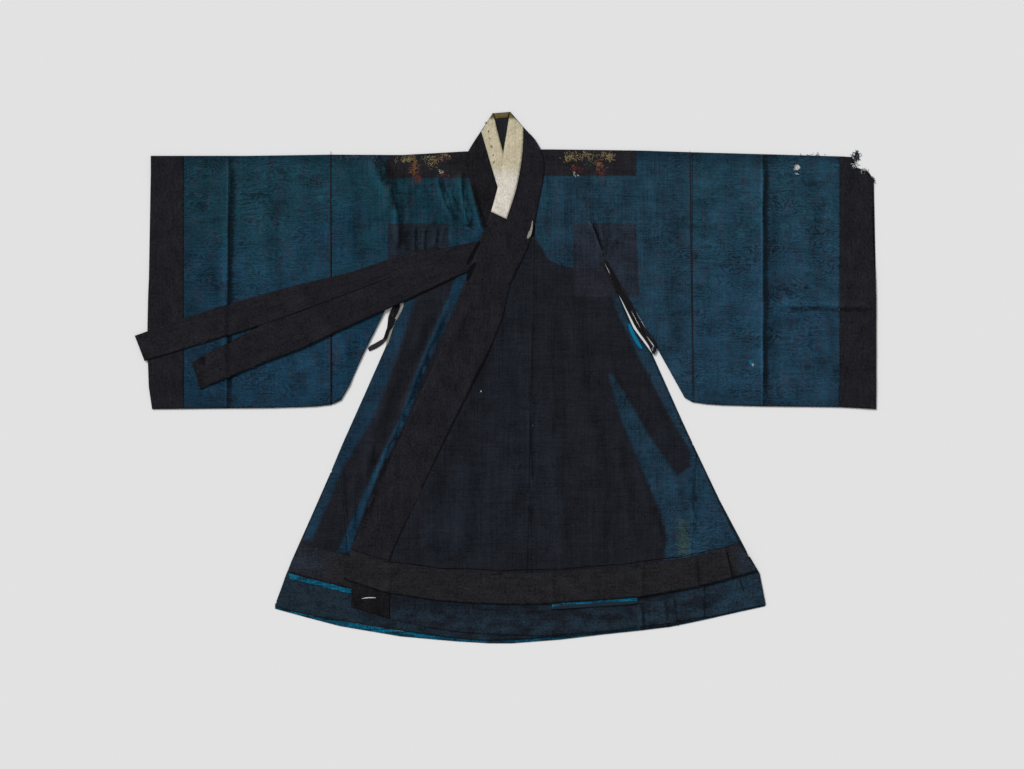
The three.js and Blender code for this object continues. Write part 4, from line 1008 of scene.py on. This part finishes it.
# Each node's cloth: material, slot, the flat size that it was cut to, its area, on what it lies and how
Cloth = namedtuple("Cloth", "material slot width length area rests_on held", defaults=((), "laid"))
CLOTHS = {
    "body_panel_right": Cloth("right", "body_gauze", 0.44, 2.32, 0.92, held="folded"),
    "body_panel_left": Cloth("left", "body_gauze", 0.44, 2.32, 0.92, held="folded"),
    "gore_front_right": Cloth("right", "body_gauze", 0.15, 0.33, 0.0239, ("lining_back",)),
    "gore_front_left": Cloth("left", "body_gauze", 0.16, 0.33, 0.0247, ("lining_back",)),
    "gore_back_right": Cloth("lining", "body_gauze", 0.15, 0.34, 0.0249),
    "gore_back_left": Cloth("lining", "body_gauze", 0.18, 0.41, 0.0388),
    "overlap_left": Cloth("left", "body_gauze", 0.45, 0.90, 0.261, ("body_panel_right",)),
    "overlap_right": Cloth("right", "body_gauze", 0.37, 0.87, 0.214, ("body_panel_left",)),
    "front_trim_left": Cloth("trim", "trim_silk", 0.12, 0.78, 0.0747, ("overlap_left",)),
    "hem_band_left": Cloth("hem", "trim_silk", 0.078, 1.02, 0.0763, ("body_panel_left", "overlap_left")),
    "hem_band_right": Cloth("hem", "trim_silk", 0.078, 0.94, 0.0702, ("body_panel_right",)),
    "sleeve_right": Cloth("sleeve", "sleeve_gauze", 0.36, 1.235, 0.443, held="folded"),
    "sleeve_left": Cloth("sleeve", "sleeve_gauze", 0.36, 1.235, 0.441, held="folded"),
    "cuff_right": Cloth("trim", "trim_silk", 0.084, 1.24, 0.1029, held="folded"),
    "cuff_left": Cloth("trim", "trim_silk", 0.086, 1.24, 0.1011, held="folded"),
    "collar_back": Cloth("trim", "trim_silk", 0.155, 0.108, 0.0122),
    "collar_right": Cloth("trim", "trim_silk", 0.09, 0.27, 0.0193, ("collar_back", "body_panel_right")),
    "collar_left": Cloth("trim", "trim_silk", 0.108, 0.43, 0.0413, ("collar_back", "collar_right")),
    "collar_strip_back": Cloth("white", "white_silk", 0.038, 0.0132, 0.00046, ("collar_back",)),
    "collar_strip_right": Cloth("white", "white_silk", 0.05, 0.17, 0.0061, ("collar_right",)),
    "collar_strip_left": Cloth("white", "white_silk", 0.05, 0.26, 0.0104, ("collar_left",)),
    "lining_back": Cloth(
        "lining", "lining_silk", 1.2, 0.21, 0.2016, ("body_panel_right", "body_panel_left")
    ),
    "lining_left": Cloth("lining", "lining_silk", 0.767, 0.18, 0.1246, ("hem_band_right",)),
    "lining_corner": Cloth("trim", "trim_silk", 0.095, 0.14, 0.0116, ("lining_back",)),
    "hem_facing_back": Cloth("facing", "facing_silk", 1.22, 0.0127, 0.0152),
    "hem_facing_right": Cloth("facing", "facing_silk", 0.16, 0.0127, 0.002, ("lining_back",)),
    "hem_facing_left": Cloth("facing", "facing_silk", 0.21, 0.0127, 0.00264, ("lining_left",)),
    "underarm_patch_right": Cloth("right", "body_gauze", 0.126, 0.086, 0.0108, ("body_panel_right",)),
    "underarm_patch_left": Cloth("left", "body_gauze", 0.153, 0.178, 0.0263, ("body_panel_left",)),
    "shoulder_backing_right": Cloth("right", "body_gauze", 0.203, 0.049, 0.0099, ("body_panel_right",)),
    "shoulder_backing_left": Cloth("left", "body_gauze", 0.227, 0.054, 0.01226, ("body_panel_left",)),
    "long_tie_under": Cloth("tie_under", "trim_silk", 0.075, 0.78, 0.0524, ("sleeve_right", "cuff_right")),
    "long_tie_over": Cloth("tie_over", "trim_silk", 0.085, 0.74, 0.059, ("sleeve_right", "long_tie_under")),
    "side_tie_right": Cloth("tie_over", "trim_silk", 0.01, 0.166, 0.00133),
    "side_tie_left_1": Cloth("tie_over", "trim_silk", 0.01, 0.265, 0.0021),
    "side_tie_left_2": Cloth("tie_over", "trim_silk", 0.01, 0.245, 0.00194),
}

pieces = {}
for node, cloth in CLOTHS.items():
    piece = bpy.data.objects.new(node + "_cloth", cloth_mesh(node))
    bpy.context.scene.collection.objects.link(piece)
    piece.data.materials.clear()
    piece.data.materials.append(materials[cloth.material])
    pieces[node] = piece
for node, cloth in CLOTHS.items():
    piece = pieces[node]
    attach(piece, "root")
    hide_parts(node)

# Colours of the strokes that lie on the cloth
GOLD = srgb(130, 115, 82)
OCHRE = srgb(100, 82, 50)
ORANGE = srgb(122, 84, 56)
RED = srgb(104, 50, 44)
SEAM = srgb(36, 28, 38)
TIE_DARK = srgb(17, 17, 20)
TIE_PAINTED_SHEEN = srgb(44, 42, 46)
PLUM = srgb(80, 56, 64)
LEAF = srgb(58, 90, 68)
PALE_LEAF = srgb(150, 168, 150)
DUST = srgb(60, 74, 82)
THREAD_WHITE = srgb(196, 200, 202)
THREAD_DARK = srgb(20, 30, 40)
GREY = srgb(54, 55, 62)
SMUDGE = srgb(104, 100, 92)
# Black for painted shadow in gaps and creases
SHADOW_BLACK = srgb(5, 5, 8)
BRIGHT_BLUE = srgb(0, 108, 146)
SCRAP = srgb(140, 137, 130)
LINING_PAINTED_SHADE = srgb(17, 23, 31)
LINING_TONE = srgb(29, 40, 50)

# Clusters of small strokes: remains of paint, frayed threads, rubbed marks and specks. Columns: the
# cluster's middle and size, how many strokes, and their length, width and colour
Cluster = namedtuple("Cluster", "x y wide high count length width colour")
PAINTED = [
    (-254, -15, 22, 8, 60, 9, 0.8, GOLD),
    (-198, -17, 20, 16, 64, 8, 0.8, GOLD),
    (-166, -12, 14, 13, 26, 7, 0.8, PLUM),
    (-161, -7, 14, 8, 26, 7, 0.8, GOLD),
    (-237, -39, 10, 17, 38, 10, 0.9, ORANGE),
    (-232, -61, 10, 15, 28, 10, 0.8, RED),
    (-215, -10, 10, 8, 12, 6, 0.8, LEAF),
    (-173, -46, 5, 5, 9, 4, 1.6, PALE_LEAF),
    (-168, -56, 12, 9, 14, 7, 0.8, RED),
    (-334, -27, 9, 20, 40, 6, 0.8, DUST),
    (-390, -11, 34, 4, 40, 7, 0.8, DUST),
    (142, -10, 20, 14, 60, 9, 0.8, GOLD),
    (183, -5, 24, 10, 48, 8, 0.8, GOLD),
    (232, -7, 18, 9, 50, 9, 0.9, GOLD),
    (212, -29, 9, 17, 44, 8, 0.9, ORANGE),
    (217, -51, 9, 13, 26, 9, 0.8, RED),
    (156, -41, 14, 10, 30, 7, 0.8, RED),
    (154, -51, 6, 5, 8, 5, 1.4, PALE_LEAF),
    (190, -24, 18, 10, 16, 6, 0.8, LEAF),
]
FRAYED = [
    (839, -29, 9, 5, 20, 7, 0.9, THREAD_WHITE),
    (859, -41, 12, 5, 18, 7, 0.8, THREAD_WHITE),
    (839, -12, 8, 8, 44, 9, 1.3, THREAD_DARK),
    (842, 0, 5, 6, 26, 6, 1.3, THREAD_DARK),
    (881, -66, 4, 6, 14, 6, 1.2, THREAD_DARK),
    (864, -46, 12, 6, 12, 8, 1.0, THREAD_DARK),
    (732, -5, 24, 3, 14, 7, 0.9, THREAD_DARK),
    (695, -34, 5, 7, 16, 6, 0.8, THREAD_WHITE),
    (693, -49, 2, 3, 6, 4, 1.0, THREAD_WHITE),
    (583, -510, 5, 5, 14, 5, 1.6, BRIGHT_BLUE),
    (586, -517, 2, 3, 5, 3, 1.2, THREAD_WHITE),
]
RUBBED = [
    (-71, -251, 26, 12, 5, 12, 0.4, GREY),
    (-95, -364, 16, 8, 4, 12, 0.4, GREY),
    (-254, -798, 40, 40, 10, 12, 0.4, GREY),
    (337, -1010, 90, 10, 9, 14, 0.4, GREY),
    (315, -876, 30, 26, 6, 10, 0.4, GREY),
    (-849, -115, 16, 60, 20, 12, 0.4, GREY),
    (849, -212, 16, 90, 24, 12, 0.4, GREY),
    (-639, -420, 120, 14, 20, 12, 0.4, GREY),
]
SPECKS = [
    (-76, -581, 1, 1, 3, 2, 1.4, THREAD_WHITE),
    (51, -664, 1, 1, 3, 2, 1.4, OCHRE),
    (-63, 76, 2, 3, 5, 2, 1.8, SMUDGE),
    (-57, 54, 2, 3, 5, 2, 1.8, SMUDGE),
    (-54, 34, 2, 2, 4, 2, 1.8, SMUDGE),
    (-50, 15, 2, 3, 7, 2, 2.2, SMUDGE),
    (-46, -7, 2, 2, 4, 2, 1.8, SMUDGE),
    (-44, -24, 2, 3, 5, 2, 1.8, SMUDGE),
]

# Single strokes: a line, how far it bows, its width and colour
Stroke = namedtuple("Stroke", "x1 y1 x2 y2 bow width colour")
SINGLE = [
    (-366, -1087, -332, -1085, 1.5, 2.2, THREAD_WHITE),  # the tacking stitch at the corner
    (-78, -215, -110, -273, 0, 9, SHADOW_BLACK),  # painted shadow in the gap under the root of the ties
    (-90, -268, -109, -312, -2, 10, SHADOW_BLACK),
    (50, -166, 46, -198, 0, 3.5, SCRAP),  # a scrap of pale backing
    (49, -178, 43, -205, 0, 5.5, SCRAP),
    (46, -188, 38, -209, 0, 6.5, SCRAP),
    (83, -1110, 322, -1094, 0, 8, LINING_TONE),  # the lining's fold over the facing
    (-317, -997, -176, -1014, 3, 2.2, SHADOW_BLACK),  # painted shadow along the sewn top of the hem band
    (-181, -1013, -29, -1019, 2, 2.0, SHADOW_BLACK),
    (-34, -1019, 122, -1015, 1, 2.4, SHADOW_BLACK),
    (117, -1015, 268, -1003, 1, 2.4, SHADOW_BLACK),
    (264, -1004, 415, -985, 2, 2.0, SHADOW_BLACK),
    (410, -986, 527, -960, 1, 1.8, SHADOW_BLACK),
    (-107, -320, -2, -320, 0, 4.5, TRIM_BLACK),  # the felled join of collar and trim
    (-595, -414, -293, -301, -2, 2.4, SHADOW_BLACK),  # painted shade in the gap between the long ties
    (315, -1091, 320, -1164, 1, 2.4, LINING_PAINTED_SHADE),  # painted shade in creases in the lining
    (373, -1086, 381, -1157, 1, 2.8, LINING_PAINTED_SHADE),
    (395, -1086, 405, -1154, -1, 2.2, LINING_PAINTED_SHADE),
    (285, -417, 317, -478, -3, 8, BRIGHT_BLUE),  # the lining that shows at the left slit
    (-442, 4, -442, -610, 0, 1.7, SEAM),  # the felled seams of the sleeves
    (434, 5, 443, -608, -2, 1.7, SEAM),
    (521, -967, 537, -1035, 1, 3.0, SHADOW_BLACK),  # painted shade in pressed creases at the left hem
    (555, -1039, 566, -1071, 0, 4.0, LINING_PAINTED_SHADE),
    (-264, -364, -288, -412, 2, 6.0, SCRAP),  # a pale lining strip beside the right slit's tie
    (-289, -410, -307, -471, 1, 5.0, SCRAP),
    (-276, -364, -301, -434, 2, 11.0, TIE_DARK),  # that tie's second strand
    (-299, -422, -311, -459, 0, 9.0, TIE_DARK),
    # the tie's flat end, grey with painted sheen
    (-309, -455, -351, -478, 1, 10.0, TIE_PAINTED_SHEEN),
    (190, -161, 224, -254, 2, 3.0, SHADOW_BLACK),  # painted shade in a gather at the left armpit, then thin ties there
    (224, -259, 293, -398, 4, 5.0, TIE_DARK),
    (232, -271, 315, -437, -5, 5.0, TIE_DARK),
    (244, -300, 342, -486, 5, 5.0, TIE_DARK),
]

# How a stroke is laid: the length of its parts, its lift off the cloth, a little more for each next one so
# that none share a plane, and how it narrows at its ends
STROKE_PART = 9.0
LEAST_PARTS = 4
SHORTEST = 0.01
STROKE_LIFT = 0.25
STROKE_STEP = 0.02
STEPS = 12
END_SHARE = 0.04
FULLNESS = 1.3
OVERHEAD = 60.0
NO_CLOTH = MM

# How a cluster's strokes are scattered, as shares of what its row says
SPREAD = 0.5
LENGTHS = (0.5, 1.3)
WIDTHS = (0.6, 1.4)
TINTS = (0.7, 1.25)
PAINTED_SEED, FRAYED_SEED, RUBBED_SEED, SPECKS_SEED = 21, 22, 23, 24
PAINT_GRAIN = Noise(1.6, 1.6, 1.0, 3.0, 0.8, 2.0)
PAINT_LIGHT = (0.3, 0.7, 0.55, 1.3)


def cloth_height(surface, x, y):
    """How high the top of the cloth lies at a place, in metres; just over the floor where there is none."""
    high = Vector(metres(np.array([x, y, OVERHEAD])))
    found = surface.ray_cast(high, Vector((0, 0, -1)))[0]
    return found.z if found else NO_CLOTH


def lies_on_cloth(surface, stroke):
    """True where cloth lies under both ends of a stroke and under its middle."""
    ends = ((stroke.x1, stroke.y1), (stroke.x2, stroke.y2))
    middle = ((stroke.x1 + stroke.x2) / 2, (stroke.y1 + stroke.y2) / 2)
    return all(cloth_height(surface, x, y) > NO_CLOTH for x, y in (*ends, middle))


def scattered(clusters, seed, curl=0.45, turned=math.tau):
    """The strokes of each cluster, denser at its middle: how far they may curl and turn."""
    rng = np.random.default_rng(seed)
    made = []
    for c in (Cluster(*row) for row in clusters):
        for _ in range(c.count):
            x = c.x + c.wide * float(rng.normal(0, SPREAD))
            y = c.y + c.high * float(rng.normal(0, SPREAD))
            turn = float(rng.uniform(0, turned))
            length = c.length * float(rng.uniform(*LENGTHS))
            dx, dy = length * math.cos(turn), length * math.sin(turn)
            bow = length * float(rng.uniform(-curl, curl))
            width = c.width * float(rng.uniform(*WIDTHS))
            tone = float(rng.uniform(*TINTS))
            colour = tuple(tone * part for part in c.colour[:3]) + (1.0,)
            made.append(Stroke(x, y, x + dx, y + dy, bow, width, colour))
    return made


def half_width(width, t):
    """Half of a stroke's width at a share t of its length: it narrows at its ends."""
    rise = math.sin(math.pi * (END_SHARE + (1 - 2 * END_SHARE) * t))
    return width / 2 * min(1.0, FULLNESS * math.sqrt(max(rise, 0)))


def stroke_piece(name, strokes, surface):
    """The strokes as one mesh of narrow ribbons that lie on the cloth, each with its own tint."""
    points, faces, tints = [], [], []
    for number, s in enumerate(strokes):
        dx, dy = s.x2 - s.x1, s.y2 - s.y1
        length = max(math.hypot(dx, dy), SHORTEST)
        parts = max(LEAST_PARTS, round(length / STROKE_PART))
        lift = (STROKE_LIFT + STROKE_STEP * (number % STEPS)) * MM
        for i in range(parts + 1):
            t = i / parts
            aside = 4 * s.bow * t * (1 - t)
            half = half_width(s.width, t)
            middle = (s.x1 + dx * t - dy / length * aside, s.y1 + dy * t + dx / length * aside)
            z = max(cloth_height(surface, middle[0] + o, middle[1]) for o in (-half, 0, half)) + lift
            for side in (-half, half):
                x, y = middle[0] - dy / length * side, middle[1] + dx / length * side
                points.append((*metres(np.array([x, y, 0.0]))[:2], z))
                tints += s.colour
            if i:
                n = len(points)
                faces.append((n - 4, n - 2, n - 1, n - 3))
    mesh = bpy.data.meshes.new(name)
    mesh.from_pydata(points, [], faces)
    mesh.attributes.new("tint", "FLOAT_COLOR", "POINT").data.foreach_set("color", tints)
    mesh.materials.append(paint)
    piece = bpy.data.objects.new(name, mesh)
    bpy.context.scene.collection.objects.link(piece)
    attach(piece, "root")


def tinted(name):
    """Dry paint and loose thread: the tint of each stroke, with uneven wear."""
    shader = Shader(name)
    tint = shader.node("Attribute", attribute_name="tint").outputs["Color"]
    grain = shader.noise(PAINT_GRAIN)
    light = shader.ease(grain, *PAINT_LIGHT)
    return shader.finish(shader.scaled_colour(tint, light), grain, *PAINT_FINISH)


paint = tinted("dry_paint")
surface = search_tree(pieces.values())
curls = [s for s in scattered(PAINTED, PAINTED_SEED) if lies_on_cloth(surface, s)]
straight = scattered(RUBBED, RUBBED_SEED, curl=0.05, turned=math.pi)
rubs = [s for s in straight if lies_on_cloth(surface, s)]
stroke_piece("painted_curls", curls, surface)
stroke_piece("frayed_threads", scattered(FRAYED, FRAYED_SEED), surface)
stroke_piece("rubbed_marks", rubs, surface)
stroke_piece("specks", scattered(SPECKS, SPECKS_SEED, curl=0.2), surface)
stroke_piece("stitch_and_scraps", [Stroke(*row) for row in SINGLE], surface)

# Stage: a pale floor, soft light from the upper left and a camera straight above
FLOOR_SIZE = 14.0
FLOOR_DROP = 0.0006
FLOOR_GREY = 0.815
SKY_STRENGTH = 0.34
KEY_STRENGTH = 2.85
KEY_ANGLE = math.radians(28)
KEY_FROM = (-0.55, 0.62, 0.72)
bpy.ops.mesh.primitive_plane_add(size=FLOOR_SIZE, location=(0, 0, -FLOOR_DROP))
floor = bpy.context.active_object
floor.name = "floor"
paper = bpy.data.materials.new("floor_paper")
paper.use_nodes = True
paper_inputs = paper.node_tree.nodes["Principled BSDF"].inputs
paper_inputs["Base Color"].default_value = (FLOOR_GREY, FLOOR_GREY, FLOOR_GREY, 1)
paper_inputs["Roughness"].default_value = 1.0
paper_inputs["Specular IOR Level"].default_value = 0.0
floor.data.materials.append(paper)

world = bpy.data.worlds.new("studio")
world.use_nodes = True
sky = world.node_tree.nodes["Background"].inputs
sky["Color"].default_value = (1, 1, 1, 1)
sky["Strength"].default_value = SKY_STRENGTH
bpy.context.scene.world = world

key_light = bpy.data.lights.new("key", "SUN")
key_light.energy = KEY_STRENGTH
key_light.angle = KEY_ANGLE
key = bpy.data.objects.new("key", key_light)
key.rotation_euler = Vector(KEY_FROM).to_track_quat("Z", "Y").to_euler()
bpy.context.scene.collection.objects.link(key)

lens = bpy.data.cameras.new("photo_camera")
lens.lens = LENS
lens.sensor_width = SENSOR
camera = bpy.data.objects.new("photo_camera", lens)
camera.location = (*PICTURE_CENTRE, PHOTO_WIDTH * LENS / SENSOR)
bpy.context.scene.collection.objects.link(camera)
bpy.context.scene.camera = camera
bpy.context.scene.view_settings.view_transform = "Standard"
